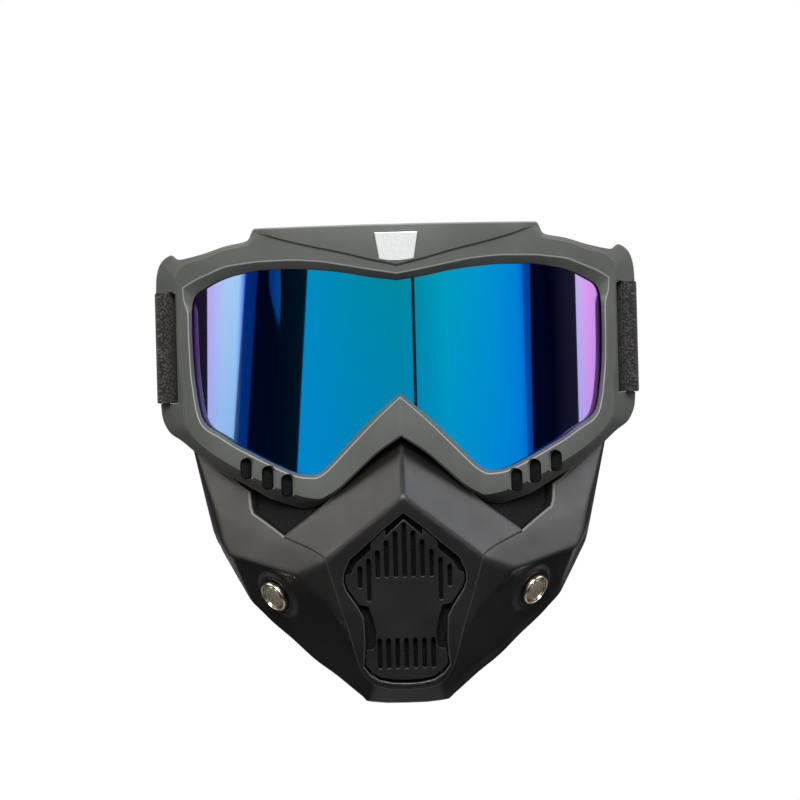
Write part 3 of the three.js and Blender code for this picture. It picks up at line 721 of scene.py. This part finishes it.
def unrolled(points):
    """Where points lie on the guard unrolled about an upright axis: (round, up)."""
    turn = np.arctan2(points[:, 0], UNROLL_AXIS - points[:, 1])
    return np.column_stack([turn * UNROLL_RADIUS, points[:, 2]])


def rolled(places, depth):
    """Points of the guard at unrolled places."""
    turn = places[:, 0] / UNROLL_RADIUS
    way = np.column_stack([np.sin(turn), -np.cos(turn), np.zeros(len(turn))])
    start = np.column_stack([np.zeros(len(turn)), np.full(len(turn), UNROLL_AXIS), places[:, 1]]) + way * 90
    return march(start, way, depth)


def lapped_edge():
    """The cheeks' edge under the muzzle panel, from the chin's middle up to the notch's tip."""
    side = along(PANEL_SIDE[::-1], np.linspace(0, 1, 130))
    way = np.gradient(side, axis=0)
    way = way / np.linalg.norm(way, axis=1, keepdims=True)
    moved = side + np.column_stack([-way[:, 1], way[:, 0]]) * LAP
    moved[:, 0] = np.maximum(moved[:, 0], 0)
    moved[0] = (0, side[0, 1] + LAP)
    return np.vstack([moved[moved[:, 0] < LAP_END[0] - 1], [LAP_END]])


def sunk_jaw(points):
    """How far the jaw is let in below the cheek and the muzzle's side, in a soft step along their crease."""
    height = points @ NORMALS.T - PLACES
    jaw = height[:, NAMES == "jaw"].max(axis=1)
    above = height[:, np.isin(NAMES, ("cheek", "side of the muzzle"))].max(axis=1)
    share = np.clip((jaw - above) / JAW_STEP, 0, 1)
    return JAW_SUNK * share * share * (3 - 2 * share)


def guard_shell(material):
    """Cheeks, jaw and chin in one moulding, from under the muzzle panel and the wings to the rear edge."""
    lap, wing = unrolled(on_front(lapped_edge())), unrolled(on_front([LAP_END] + WING_TOP))
    rim = unrolled(on_side(eased(GUARD_RIM, 4)))
    foot = unrolled(on_front([(16, GUARD_FOOT + 1.0), (8, GUARD_FOOT + 0.25), (0, GUARD_FOOT + 0.2)]))
    rim = rim[rim[:, 0] > foot[0, 0] + 1]
    lap[0, 0] = foot[-1, 0] = 0
    outline = mirrored(np.vstack([lap, wing[1:], rim, foot]))
    under_panel = lap[:-1]
    full_lap = np.vstack([under_panel[::-1] * (-1, 1), under_panel[1:]])

    def place(flat, depth):
        tuck = TUCK * np.clip((LAP - 0.3 - reach_to(flat, full_lap)) / 1.2, 0, 1)
        upright = rolled(flat, PANEL_PROUD)
        seat = np.linalg.norm(np.abs(upright) * (1, 0, 0) + upright * (0, 1, 1) - rivet_place(1)[0], axis=1)
        dish = SEAT_DISH * np.clip((RIVET_RADIUS + SEAT_ROUND - seat) / 0.9, 0, 1)
        clear = np.clip((seat - RIVET_RADIUS - 2) / 2, 0, 1) * np.clip((reach_to(flat, rim) - 1) / 3, 0, 1)
        points = rolled(flat, PANEL_PROUD + depth + tuck + dish + clear * sunk_jaw(upright))
        points[:, 2] = np.maximum(points[:, 2], GUARD_FOOT)
        return points

    # Its front arris takes the full painted highlight.
    made = laid(flat_plate("guard_shell", [outline], GUARD_WALL, GUARD_EDGE), GUARD_GRID, place)
    settle(made, material, "guard_plastic", ("face_guard",), sharp=45)


def muzzle_panel(material):
    """The raised panel round the vent, lapped over the cheeks along its side ridges."""
    outlines = [mirrored(PANEL_TOP + PANEL_SIDE[1:]), mirrored(VENT_TOP + VENT_SIDE[1:])]
    # Its front arris takes a faint painted highlight, at 0.22 of full.
    made = laid(flat_plate("muzzle_panel", outlines, GUARD_WALL, GUARD_EDGE), GUARD_GRID, on_front, 0.22)
    settle(made, material, "guard_plastic", sharp=45)


def plane_of_muzzle(depth):
    """Turns flat drawings into the muzzle's front plane: X across, Y up the plane, Z out of it."""
    across, back, up, _, rise = GUARD_FACES["front of the muzzle"]
    out = Vector((0, -1, rise)).normalized()
    climb = Vector((0, rise, 1)).normalized()
    start = Vector((across, LENS_FRONT + back, up)) - out * depth
    turn = Matrix((Vector((1, 0, 0)), climb, out)).transposed().to_4x4()
    return Matrix.Translation(start * MM) @ turn


def capsule(x, top, foot, width):
    """A slot's outline with round ends."""
    r = width / 2
    turn = np.linspace(0, math.pi, 7)
    upper = [(x + r * math.cos(a), top - r + r * math.sin(a)) for a in turn]
    lower = [(x - r * math.cos(a), foot + r - r * math.sin(a)) for a in turn]
    return upper + lower


def vent_grille(material):
    """The slotted plate set into the vent."""
    _, _, level, _, rise = GUARD_FACES["front of the muzzle"]
    stretch = math.hypot(1, rise)
    up = lambda z: (z - level) * stretch
    outline = [(x, up(z)) for x, z in mirrored(GRILLE_OUTLINE)]
    slots = []
    for i, (top, foot) in enumerate(UPPER_SLOTS):
        slots += [(place, top, foot) for place in sorted({i, -i})]
    for i in range(LOWER_SLOTS):
        slots += [(place, *LOWER_SLOT) for place in sorted({i, -i})]
    holes = [capsule(place * SLOT_PITCH, up(top), up(foot), SLOT_WIDTH) for place, top, foot in slots]
    made = flat_plate("grille_insert", [outline, *holes], GRILLE_THICKNESS, 0.3)
    made.data.transform(plane_of_muzzle(GRILLE_SET_BACK + GRILLE_THICKNESS / 2))
    settle(made, material, "grille_plastic", ("vent_grille",), sharp=35)


def guard_liner(material):
    """Foam lining behind the vent and the notches; its dark foam also stands in for the shade seen through
    them.
    """
    behind = GUARD_WALL + PANEL_PROUD + GAP
    plate = flat_plate("liner_foam", [mirrored(LINER_OUTLINE)], LINER_THICKNESS, 1)
    made = laid(plate, 2, lambda flat, depth: on_front(flat, behind + depth))
    settle(made, material, "liner_foam", ("guard_liner",), sharp=60)


def rivet_place(side):
    """The middle of a rivet's seat on the jaw, and the way that the rivet faces."""
    across, back, up, out, rise = GUARD_FACES["jaw"]
    normal = Vector((side * out, -1, rise)).normalized()
    return np.array([side * across, LENS_FRONT + back, up]), normal


def lathe(name, profile, side, material, stands_for=()):
    """A turned piece on a rivet's axis from (radius, height) pairs, starting and ending on the axis."""
    middle, normal = rivet_place(side)
    turn = normal.to_track_quat("Z", "Y").to_matrix()
    angle = np.linspace(0, 2 * math.pi, RIVET_SIDES, endpoint=False)
    rings = [[(r * math.cos(a), r * math.sin(a), h) for a in angle] for r, h in profile]
    points = np.array(rings).reshape(-1, 3) @ np.array(turn).T + middle
    faces = grid_faces(len(profile), RIVET_SIDES, close_columns=True)
    piece(name, points, faces, material, "rivet_nickel", stands_for, sharp=35)


def rivet(side, ring_material, face_material):
    """A snap rivet: a stem through the shell, a ring with two lips and a groove, and a low dished face."""
    name = "left" if side > 0 else "right"
    r, seat = RIVET_RADIUS, -PANEL_PROUD
    top = seat + RIVET_HEAD + 0.4
    ring = [
        (0, -4.0), (4.2, -4.0), (4.2, -3.4), (2, -3.4), (2, seat), (r - 0.4, seat), (r, seat + 0.3),
        (r, top - 0.7), (r - 0.1, top - 0.35), (r - 0.3, top - 0.1), (r - 0.55, top), (r - 0.8, top - 0.12),
        (r - 0.95, top - 0.45), (r - 1.0, top - 0.75), (r - 1.3, top - 0.75), (r - 1.35, top - 0.45),
        (r - 1.5, top - 0.25), (r - 1.7, top - 0.3), (r - 1.8, top - 0.5), (r - 1.85, seat + 0.8),
        (0, seat + 0.8),
    ]
    face = [
        (0, seat + 0.6), (r - 1.9, seat + 0.6), (r - 1.9, top - 0.6), (r - 2.15, top - 0.45), (0, top - 0.3),
    ]
    lathe(f"rivet_ring_{name}", ring, side, ring_material, (f"rivet_{name}",))
    lathe(f"rivet_face_{name}", face, side, face_material)


# Badge

def brow_badge(material):
    """A curved silver plate let into the brow."""
    bow = np.linspace(1, -1, 15)
    foot = [(BADGE_FOOT_HALF * share, BADGE_FOOT - BADGE_BOW * (1 - share * share)) for share in bow]
    outline = [(-BADGE_TOP_HALF, BADGE_TOP), (BADGE_TOP_HALF, BADGE_TOP), *foot]

    def place(flat, depth):
        x, z = flat.T
        seat = LENS_FRONT - RIM_PROUD - BROW_PLATE_PROUD - 0.35 - (z - 28) * BADGE_LEAN + wrap(x)
        return np.column_stack([x, seat + depth, z])

    made = laid(flat_plate("badge_plate", [outline], BADGE_THICKNESS, 0.3), 1, place)
    settle(made, material, "badge_metal", ("brow_badge",), sharp=50)


# Strap

def strap_path():
    """The strap's middle line in plan on one side, from its sewn end, round the lug's bar, to the back."""
    bar_in = HALF_OPENING + STRAP_SLOT_IN + STRAP_THICKNESS + 2 * GAP
    bar_out = bar_in + BAR_WIDTH
    thin = STRAP_THICKNESS / 2
    inside = SLOT_INNER + thin + 0.1
    front = LENS_FRONT + wrap(bar_in) - RIM_PROUD / 2 - GAP - thin
    back = LENS_FRONT + wrap(bar_out) + EDGE_THICKNESS + 3 * GAP
    outside = bar_out + GAP + thin
    doubled = outside - STRAP_THICKNESS * 1.1 - 0.6
    bend = STRAP_BACK - thin - LOOP_HALF_BREADTH
    control = [
        (doubled - 0.6, back + STRAP_DOUBLE),
        (doubled, back + STRAP_DOUBLE * 0.5),
        (doubled, back + 4),
        (inside, back - 1),
        (inside, front + 3.4),
        ((inside + outside) / 2 - 0.6, front + 0.7),
        (outside - 0.6, front + 2.7),
        (outside, front + 5),
        (outside, back),
        (outside - STRAP_THICKNESS, back + STRAP_DOUBLE / 2),
        ((outside + LOOP_HALF_BREADTH) / 2, (back + bend) / 2),
        (LOOP_HALF_BREADTH, bend),
    ]
    turn = np.linspace(0, math.pi / 2, 15)[1:]
    control += [(LOOP_HALF_BREADTH * math.cos(a), bend + LOOP_HALF_BREADTH * math.sin(a)) for a in turn]
    return eased(control, 6)


def strap(material, thread):
    """The webbing, one flat band with soft edges, and its stitches."""
    half = strap_path()
    line = np.vstack([half, (half * (-1, 1))[:-1][::-1]])
    way = np.gradient(line, axis=0)
    way = way / np.linalg.norm(way, axis=1, keepdims=True)
    out = np.column_stack([way[:, 1], -way[:, 0]])
    w, h, r = STRAP_WIDTH / 2, STRAP_THICKNESS / 2, 0.5
    outer_face = [
        (h - r, -w), (h - 0.15, -w + 0.15), (h, -w + r + 0.3), (h, -w * 0.33),
        (h, w * 0.33), (h, w - r - 0.3), (h - 0.15, w - 0.15), (h - r, w),
    ]
    section = outer_face + [(-d, z) for d, z in outer_face[::-1]]
    points = np.array([
        [(x + ox * d, y + oy * d, z) for d, z in section] for (x, y), (ox, oy) in zip(line, out)
    ])
    count, corners, _ = points.shape
    faces = grid_faces(count, corners, close_columns=True)
    faces += [list(range(corners)), list(range((count - 1) * corners, count * corners))]
    piece("strap_webbing", points.reshape(-1, 3), faces, material, "strap_elastic", ("head_strap",), sharp=50)
    stitches(half, thread)


def stitches(half, thread):
    """Two rows of thread through the doubled stretch behind each lug."""
    outer = half[half[:, 0] > LOOP_HALF_BREADTH]
    outer = outer[len(outer) // 2:]
    points, faces = [], []
    first = LENS_FRONT + wrap(HALF_OPENING + LUG_REACH) + EDGE_THICKNESS + STRAP_DOUBLE
    turn = np.linspace(0, 2 * math.pi, 8, endpoint=False)
    swell = ((0, 0.05), (0.15, 0.3), (0.5, 0.36), (0.85, 0.3), (1, 0.05))
    for row in SEAM_ROWS:
        y = first - SEAM_IN - row
        x = float(np.interp(y, outer[:, 1], outer[:, 0])) + STRAP_THICKNESS / 2
        for z in np.arange(-STRAP_WIDTH / 2 + 2, STRAP_WIDTH / 2 - 2, STITCH_PITCH):
            for side in (-1, 1):
                start = len(points)
                points += [
                    (side * (x + size * 0.6 * math.cos(a)), y + size * math.sin(a), z + STITCH_LENGTH * share)
                    for share, size in swell for a in turn
                ]
                faces += grid_faces(len(swell), len(turn), close_columns=True, start=start)
                faces += [list(range(start, start + 8)), list(range(start + 32, start + 40))]
    piece("strap_stitches", points, faces, thread, "strap_elastic", sharp=60)


# Materials

def linear(colour):
    """An sRGB hex colour as linear red, green, blue and one."""
    parts = [int(colour[i:i + 2], 16) / 255 for i in (1, 3, 5)]
    return (*[c / 12.92 if c <= 0.04045 else ((c + 0.055) / 1.055) ** 2.4 for c in parts], 1)


def add(material, kind, links=(), stops=(), **settings):
    """Adds a node. links: {input: a value, or (node, output) to join to it}. stops: a colour ramp's (place,
    colour) pairs. settings: its own options."""
    tree = material.node_tree
    made = tree.nodes.new("ShaderNode" + kind)
    for name, value in settings.items():
        setattr(made, name, value)
    for name, value in dict(links).items():
        if isinstance(value, tuple) and isinstance(value[0], bpy.types.Node):
            tree.links.new(value[0].outputs[value[1]], made.inputs[name])
        else:
            made.inputs[name].default_value = value
    if stops:
        elements = made.color_ramp.elements
        while len(elements) < len(stops):
            elements.new(0.5)
        for element, (place, colour) in zip(elements, stops):
            element.position, element.color = place, linear(colour)
    return made


def surface(name, **values):
    """A material with these numbers and colours set on its own shader."""
    material = bpy.data.materials.new(name)
    material.use_nodes = True
    shader = material.node_tree.nodes["Principled BSDF"]
    for socket, value in values.items():
        shader.inputs[socket.replace("_", " ")].default_value = value
    return material, shader


def join(material, node, output, shader, socket):
    material.node_tree.links.new(node.outputs[output], shader.inputs[socket])


def per_metre(size_mm):
    """How many of a pattern of that size go in a metre."""
    return 1 / (size_mm * MM)


def arris_highlight(material, tone, pale):
    """The tone, painted paler along the arrises that a piece has marked: a painted highlight."""
    wear_and_highlight = add(material, "Attribute", attribute_name="arris")
    return add(material, "Mix", {0: (wear_and_highlight, "Fac"), 6: tone, 7: linear(pale)}, data_type="RGBA")


def moulded_tpu():
    """Moulded TPU frame: a dead matt grey skin with a faint spark grain, clouded over 26 mm, with a painted
    highlight: its arrises painted slightly paler. The grain is drawn at 0.7 mm, coarser than it is, so that
    it shows."""
    material, shader = surface("moulded_tpu", Roughness=0.62, IOR=1.5, Specular_IOR_Level=0.42)
    place = add(material, "TexCoord")
    cloud = add(material, "TexNoise", {"Vector": (place, "Object"), "Scale": per_metre(26), "Detail": 3})
    tone = add(material, "ValToRGB", {"Fac": (cloud, "Fac")}, [(0.3, "#494b48"), (0.7, "#535652")])
    # Painted highlight: the marked arrises painted paler, towards #8b8d87.
    painted_highlight = arris_highlight(material, (tone, "Color"), "#8b8d87")
    grain = add(material, "TexNoise", {"Vector": (place, "Object"), "Scale": per_metre(0.7), "Detail": 2})
    bump = add(material, "Bump", {"Height": (grain, "Fac"), "Strength": 0.16, "Distance": 0.00012})
    join(material, painted_highlight, 2, shader, "Base Color")
    join(material, bump, "Normal", shader, "Normal")
    return material


def mirrored_polycarbonate():
    """Vacuum-coated polycarbonate lens: a mirror, teal in the middle, then blue, and violet at the ends, and
    bluer towards its foot. Its colour is painted by place: partly the coat's tint, partly painted reflection.
    """
    material, shader = surface("mirrored_polycarbonate", Metallic=1, Roughness=0.035)
    place = add(material, "TexCoord")
    axes = add(material, "SeparateXYZ", {"Vector": (place, "Object")})
    span = HALF_OPENING * MM
    left = add(material, "Math", {0: (axes, "X"), 1: 0.0}, operation="MINIMUM")
    lean = add(material, "Math", {0: (axes, "Z"), 1: 1.15, 2: -0.026}, operation="MULTIPLY_ADD")
    leant = add(material, "Math", {0: (left, "Value"), 1: (lean, "Value"), 2: (axes, "X")},
                operation="MULTIPLY_ADD")
    across = add(material, "MapRange", {"Value": (leant, "Value"), "From Min": -span, "From Max": span})
    # Painted reflection in part: the ramp's pale lavender and deep blue bands lie where reflections fall on
    # the lens; between them it is the coat's tint.
    tint_and_painted_reflection = add(material, "ValToRGB", {"Fac": (across, "Result")}, [
        (0.000, "#3a1690"), (0.018, "#c488f4"), (0.050, "#b6aaf2"), (0.090, "#a6c8f2"), (0.122, "#9cc8f5"),
        (0.137, "#0a54d8"), (0.200, "#0640a8"), (0.273, "#018bc4"), (0.403, "#0088ab"), (0.507, "#0287a0"),
        (0.545, "#008ba8"), (0.616, "#009cbe"), (0.736, "#018ed0"), (0.786, "#0080d4"), (0.810, "#005bd0"),
        (0.870, "#2a2aa8"), (0.923, "#b6acf8"), (0.944, "#c4acf0"), (0.964, "#dc98ee"), (0.985, "#cc90ea"),
        (1.000, "#7030a0"),
    ])
    height = add(material, "MapRange", {
        "Value": (axes, "Z"), "From Min": -0.045, "From Max": 0.02, "To Min": 0.3, "To Max": 0.0,
    })
    deep = add(material, "Mix", {0: (height, "Result"), 6: (tint_and_painted_reflection, "Color"), 7: linear("#0070d8")},
               data_type="RGBA")
    join(material, deep, 2, shader, "Base Color")
    return material


def open_cell_foam(name, colour, pore):
    """Open-cell foam: no sheen at all and a skin of small round pores."""
    material, shader = surface(name, Roughness=0.95, IOR=1.45, Specular_IOR_Level=0.2)
    place = add(material, "TexCoord")
    pores = add(material, "TexVoronoi", {"Vector": (place, "Object"), "Scale": per_metre(pore)})
    # Painted shade: the pores' hollows painted near black, by the same field as their bump.
    tone = add(material, "ValToRGB", {"Fac": (pores, "Distance")}, [(0.1, "#050505"), (0.55, colour)])
    bump = add(material, "Bump", {"Height": (pores, "Distance"), "Strength": 0.7, "Distance": 0.0004})
    join(material, tone, "Color", shader, "Base Color")
    join(material, bump, "Normal", shader, "Normal")
    return material


def brushed_fleece():
    """Brushed fleece on the foam: soft short fibres that lighten the edges."""
    material, shader = surface("brushed_fleece", Roughness=0.9, Sheen_Weight=0.5, Sheen_Roughness=0.5)
    place = add(material, "TexCoord")
    fibre = add(material, "TexNoise", {"Vector": (place, "Object"), "Scale": per_metre(0.9), "Detail": 5})
    # Painted light and shade: the raised fibres painted paler and the low ones darker, by the same field as
    # the bump.
    tone = add(material, "ValToRGB", {"Fac": (fibre, "Fac")}, [(0.35, "#1a1a1b"), (0.7, "#2b2b2c")])
    bump = add(material, "Bump", {"Height": (fibre, "Fac"), "Strength": 0.5, "Distance": 0.0003})
    join(material, tone, "Color", shader, "Base Color")
    join(material, bump, "Normal", shader, "Normal")
    return material


def woven_elastic():
    """Woven elastic webbing: black yarn over rubber, in short slanted ribs that read as a pebbled grain. The
    weave follows the loop round. Its ribs are drawn 1 mm long, coarser than they are, so that they show."""
    material, shader = surface("woven_elastic", Roughness=0.8, Sheen_Weight=0.15, Specular_IOR_Level=0.3)
    place = add(material, "TexCoord")
    axes = add(material, "SeparateXYZ", {"Vector": (place, "Object")})
    radius = LOOP_HALF_BREADTH * MM
    bend = STRAP_BACK * MM - radius
    past = add(material, "Math", {0: (axes, "Y"), 1: bend}, operation="SUBTRACT")
    straight = add(material, "Math", {0: (past, "Value"), 1: 0.0}, operation="MINIMUM")
    round_back = add(material, "Math", {0: (past, "Value"), 1: 0.0}, operation="MAXIMUM")
    turn = add(material, "Math", {0: (round_back, "Value"), 1: (axes, "X")}, operation="ARCTAN2")
    curved = add(material, "Math", {0: (turn, "Value"), 1: radius, 2: (straight, "Value")},
                 operation="MULTIPLY_ADD")
    out = add(material, "Math", {0: (axes, "X")}, operation="ABSOLUTE")
    fold = add(material, "Math", {0: (out, "Value"), 1: radius}, operation="MAXIMUM")
    run = add(material, "Math", {0: (curved, "Value"), 1: (fold, "Value")}, operation="SUBTRACT")
    slanted = add(material, "CombineXYZ", {"X": (run, "Value"), "Y": (axes, "Z"), "Z": 0.0})
    turned = add(material, "Mapping", {
        "Vector": (slanted, "Vector"), "Rotation": (0, 0, math.radians(38)),
        "Scale": (per_metre(0.55), per_metre(1), 1),
    })
    yarn = add(material, "TexVoronoi", {"Vector": (turned, "Vector"), "Scale": 1.0, "Randomness": 0.55})
    # Painted light and shade: each rib's raised middle painted paler and the hollows between ribs darker, by
    # the same field as the bump.
    tone = add(material, "ValToRGB", {"Fac": (yarn, "Distance")}, [(0.1, "#4b4947"), (0.6, "#0d0c0c")])
    bump = add(material, "Bump", {"Height": (yarn, "Distance"), "Strength": 0.8, "Distance": -0.0005})
    join(material, tone, "Color", shader, "Base Color")
    join(material, bump, "Normal", shader, "Normal")
    return material


def satin_abs(name, roughness, colour):
    """Injection-moulded ABS off a satin tool: black, faintly clouded, with a broad soft highlight, a fine
    grain drawn at 0.5 mm so that it shows, and a painted highlight: its arrises painted paler."""
    material, shader = surface(name, Roughness=roughness, IOR=1.54, Specular_IOR_Level=0.45)
    place = add(material, "TexCoord")
    cloud = add(material, "TexNoise", {"Vector": (place, "Object"), "Scale": per_metre(30), "Detail": 3})
    tone = add(material, "ValToRGB", {"Fac": (cloud, "Fac")}, [(0.3, colour), (0.7, "#151514")])
    # Painted highlight: the marked arrises painted paler, towards #70706b.
    painted_highlight = arris_highlight(material, (tone, "Color"), "#70706b")
    grain = add(material, "TexNoise", {"Vector": (place, "Object"), "Scale": per_metre(0.5), "Detail": 2})
    wear_and_highlight = add(material, "TexNoise", {"Vector": (place, "Object"), "Scale": per_metre(18), "Detail": 4})
    gloss = add(material, "MapRange", {
        "Value": (wear_and_highlight, "Fac"), "From Min": 0.35, "From Max": 0.65,
        "To Min": roughness - 0.04, "To Max": roughness + 0.05,
    })
    bump = add(material, "Bump", {"Height": (grain, "Fac"), "Strength": 0.12, "Distance": 0.0001})
    join(material, painted_highlight, 2, shader, "Base Color")
    join(material, gloss, "Result", shader, "Roughness")
    join(material, bump, "Normal", shader, "Normal")
    return material


def satin_aluminium():
    """Satin anodised aluminium: near white, with a faint mottle."""
    material, shader = surface("satin_aluminium", Metallic=0.6, Roughness=0.45)
    place = add(material, "TexCoord")
    mottle = add(material, "TexNoise", {"Vector": (place, "Object"), "Scale": per_metre(0.7), "Detail": 4})
    tone = add(material, "ValToRGB", {"Fac": (mottle, "Fac")}, [(0.35, "#d9dbda"), (0.65, "#e6e8e7")])
    join(material, tone, "Color", shader, "Base Color")
    return material


def nickel_plate():
    """Polished nickel plate: warm silver, with sharp highlights on its turned lips."""
    material, shader = surface("nickel_plate", Metallic=1, Roughness=0.2)
    place = add(material, "TexCoord")
    haze = add(material, "TexNoise", {"Vector": (place, "Object"), "Scale": per_metre(3), "Detail": 3})
    tone = add(material, "ValToRGB", {"Fac": (haze, "Fac")}, [(0.3, "#b8ab9a"), (0.7, "#d9d0c2")])
    join(material, tone, "Color", shader, "Base Color")
    return material


def blasted_nickel():
    """Bead-blasted nickel in the rivet's dish: matt, sandy and finely pitted."""
    material, shader = surface("blasted_nickel", Metallic=1, Roughness=0.5)
    place = add(material, "TexCoord")
    pits = add(material, "TexVoronoi", {"Vector": (place, "Object"), "Scale": per_metre(0.55)})
    # Painted shade: the pits painted darker, by the same field as their bump.
    tone = add(material, "ValToRGB", {"Fac": (pits, "Distance")}, [(0.15, "#8d8172"), (0.6, "#c9beae")])
    bump = add(material, "Bump", {"Height": (pits, "Distance"), "Strength": 0.9, "Distance": 0.0003})
    join(material, tone, "Color", shader, "Base Color")
    join(material, bump, "Normal", shader, "Normal")
    return material


def bonded_thread():
    """Bonded polyester thread: black with a slight shine, and plies twisted every 0.8 mm that catch the light
    in turn. A wave texture's bands are tau / 20 apart at a scale of one."""
    material, shader = surface("bonded_thread", Roughness=0.5)
    place = add(material, "TexCoord")
    plies = add(material, "TexWave", {"Vector": (place, "Object"), "Scale": per_metre(0.8) * math.tau / 20},
                bands_direction="Z")
    # Painted highlight: each ply's crown painted paler and its groove darker, by the same field as the bump.
    tone = add(material, "ValToRGB", {"Fac": (plies, "Fac")}, [(0.2, "#1e1d1c"), (0.8, "#343230")])
    bump = add(material, "Bump", {"Height": (plies, "Fac"), "Strength": 0.5, "Distance": 0.0001})
    join(material, tone, "Color", shader, "Base Color")
    join(material, bump, "Normal", shader, "Normal")
    return material


# Stage, light and camera

bpy.context.scene.view_settings.view_transform = "Standard"

AIM = Vector((0, LENS_FRONT * MM, -0.022))
CAMERA_FAR = 1.2
CAMERA_TURN = math.radians(-0.6)
CAMERA_ROLL = math.radians(1.5)
FLOOR_DROP = 1.4
FLOOR_RADIUS = 1.4
PANEL_FAR = 2.4


def staged(name, points, faces, material):
    """Something round the mask that isn't part of it, from points in metres."""
    made = placed(name, mesh_of(name, points, faces))
    made.data.materials.append(material)
    return made


def glowing(name, colour, bright):
    """A plain glow with no gloss of its own."""
    return surface(name, Base_Color=linear("#000000"), Emission_Color=linear(colour),
                   Emission_Strength=bright, Specular_IOR_Level=0)[0]


def floor():
    """A plain pale disc, wide enough for what the camera sees of it."""
    turn = np.linspace(0, 2 * math.pi, 96, endpoint=False)
    rim = [(FLOOR_RADIUS * math.cos(a), FLOOR_RADIUS * math.sin(a) + 0.05, -FLOOR_DROP) for a in turn]
    material, _ = surface("pale_floor", Roughness=0.9, Base_Color=linear("#dcdcdc"))
    staged("floor", rim, [range(len(rim))], material)


def far_floor(inner, outer, bright):
    """The floor further off. Only mirrors such as the lens see it, so that they aren't black from above."""
    turn = np.linspace(0, 2 * math.pi, 97)
    points = [(r * math.cos(a), r * math.sin(a), -FLOOR_DROP) for a in turn for r in (inner, outer)]
    made = staged("far_floor", points, grid_faces(97, 2), glowing("far_floor", "#eef2f6", bright))
    made.visible_camera = made.visible_diffuse = False


def world(strength):
    """A pale backdrop for the camera, and a dim even room for everything else."""
    made = bpy.data.worlds.new("studio")
    made.use_nodes = True
    bpy.context.scene.world = made
    tree = made.node_tree
    room = tree.nodes["Background"]
    room.inputs["Color"].default_value = linear("#dfe3e8")
    room.inputs["Strength"].default_value = strength
    pale = tree.nodes.new("ShaderNodeBackground")
    pale.inputs["Color"].default_value = (1, 1, 1, 1)
    pale.inputs["Strength"].default_value = 1.0
    path = tree.nodes.new("ShaderNodeLightPath")
    mix = tree.nodes.new("ShaderNodeMixShader")
    tree.links.new(path.outputs["Is Camera Ray"], mix.inputs[0])
    tree.links.new(room.outputs[0], mix.inputs[1])
    tree.links.new(pale.outputs[0], mix.inputs[2])
    tree.links.new(mix.outputs[0], tree.nodes["World Output"].inputs["Surface"])


def softbox(name, azimuth, elevation, far, width, height, power, colour="#ffffff"):
    """An area light facing the mask, at an azimuth from straight ahead (towards +X) and an elevation."""
    light = bpy.data.lights.new(name, "AREA")
    light.shape, light.size, light.size_y = "RECTANGLE", width, height
    light.energy = power
    light.color = linear(colour)[:3]
    light.spread = math.radians(100)
    made = placed(name, light)
    a, e = math.radians(azimuth), math.radians(elevation)
    way = Vector((math.sin(a) * math.cos(e), -math.cos(a) * math.cos(e), math.sin(e)))
    made.location = AIM + way * far
    made.rotation_euler = way.to_track_quat("Z", "Y").to_euler()
    made.visible_camera = False


def lens_panel(name, rows, bright):
    """A tall glowing screen that the lens mirrors, from (height, low azimuth, high azimuth) rows."""
    columns = 9
    points = []
    for height, low, high in rows:
        for turn in np.radians(np.linspace(low, high, columns)):
            points.append(AIM + Vector((math.sin(turn) * PANEL_FAR, -math.cos(turn) * PANEL_FAR, height)))
    made = staged(name, points, grid_faces(len(rows), columns), glowing(name, "#ffffff", bright))
    made.visible_camera = False


def camera():
    """A long lens level with the mask, rolled a little as the photograph is."""
    data = bpy.data.cameras.new("photo_camera")
    data.lens, data.sensor_width = 148, 36
    made = placed("photo_camera", data)
    way = Vector((math.sin(CAMERA_TURN), -math.cos(CAMERA_TURN), 0))
    made.location = AIM + way * CAMERA_FAR
    turn = way.to_track_quat("Z", "Y").to_matrix() @ Matrix.Rotation(-CAMERA_ROLL, 3, "Z")
    made.rotation_euler = turn.to_euler()
    bpy.context.scene.camera = made


camera()
goggle_frame(moulded_tpu())
lens(mirrored_polycarbonate())
brow_badge(satin_aluminium())
face_foam(open_cell_foam("seat_foam", "#1c1c1c", 0.9), brushed_fleece())
strap(woven_elastic(), bonded_thread())
black = satin_abs("satin_abs", 0.4, "#10100f")
guard_shell(black)
muzzle_panel(black)
# The grille's copy of the ABS is painted darker than the shell's: painted shade where it sits back in the
# vent.
vent_grille(satin_abs("satin_abs_shaded_insert", 0.45, "#0b0b0b"))
filter_foam = open_cell_foam("filter_foam", "#131313", 0.6)
guard_liner(filter_foam)
vent_foam(filter_foam)
for side in (-1, 1):
    rivet(side, nickel_plate(), blasted_nickel())

floor()
far_floor(4.2, 14, 0.4)
world(0.03)
softbox("front_key", -2, 38, 1.5, 1.3, 0.7, 11.5)
softbox("left_side", -84, 38, 1.5, 1.3, 1.2, 4.8, "#fffaf0")
softbox("right_side", 86, 36, 1.5, 1.3, 1.2, 5.4, "#fbfcff")
lens_panel("front_left", [(-0.14, -51.3, 7.1), (0.16, -40.7, 7.1), (0.6, -40.7, 7.1)], 1)
lens_panel("front_right", [(-0.14, 8.6, 62), (0.16, 8.6, 61.3), (0.6, 8.6, 61.3)], 1)
lens_panel("blue_left", [(-0.14, -89, -80), (0.16, -72.5, -66.2), (0.6, -72.5, -66.2)], 0.25)
lens_panel("blue_sail", [
    (0.09, -57, -55.8), (0.105, -59, -55.4), (0.125, -60.9, -54.9), (0.6, -60.9, -54.9),
], 0.5)
lens_panel("blue_right", [(-0.14, 62, 64.6), (0.16, 61.3, 65.5), (0.6, 61.3, 65.5)], 0.5)
lens_panel("side_left", [(-0.14, -102, -89), (0.16, -97.5, -72.5), (0.6, -97.5, -72.5)], 1)
lens_panel("side_right", [(-0.14, 92.6, 112), (0.16, 92.6, 112), (0.6, 92.6, 112)], 1)
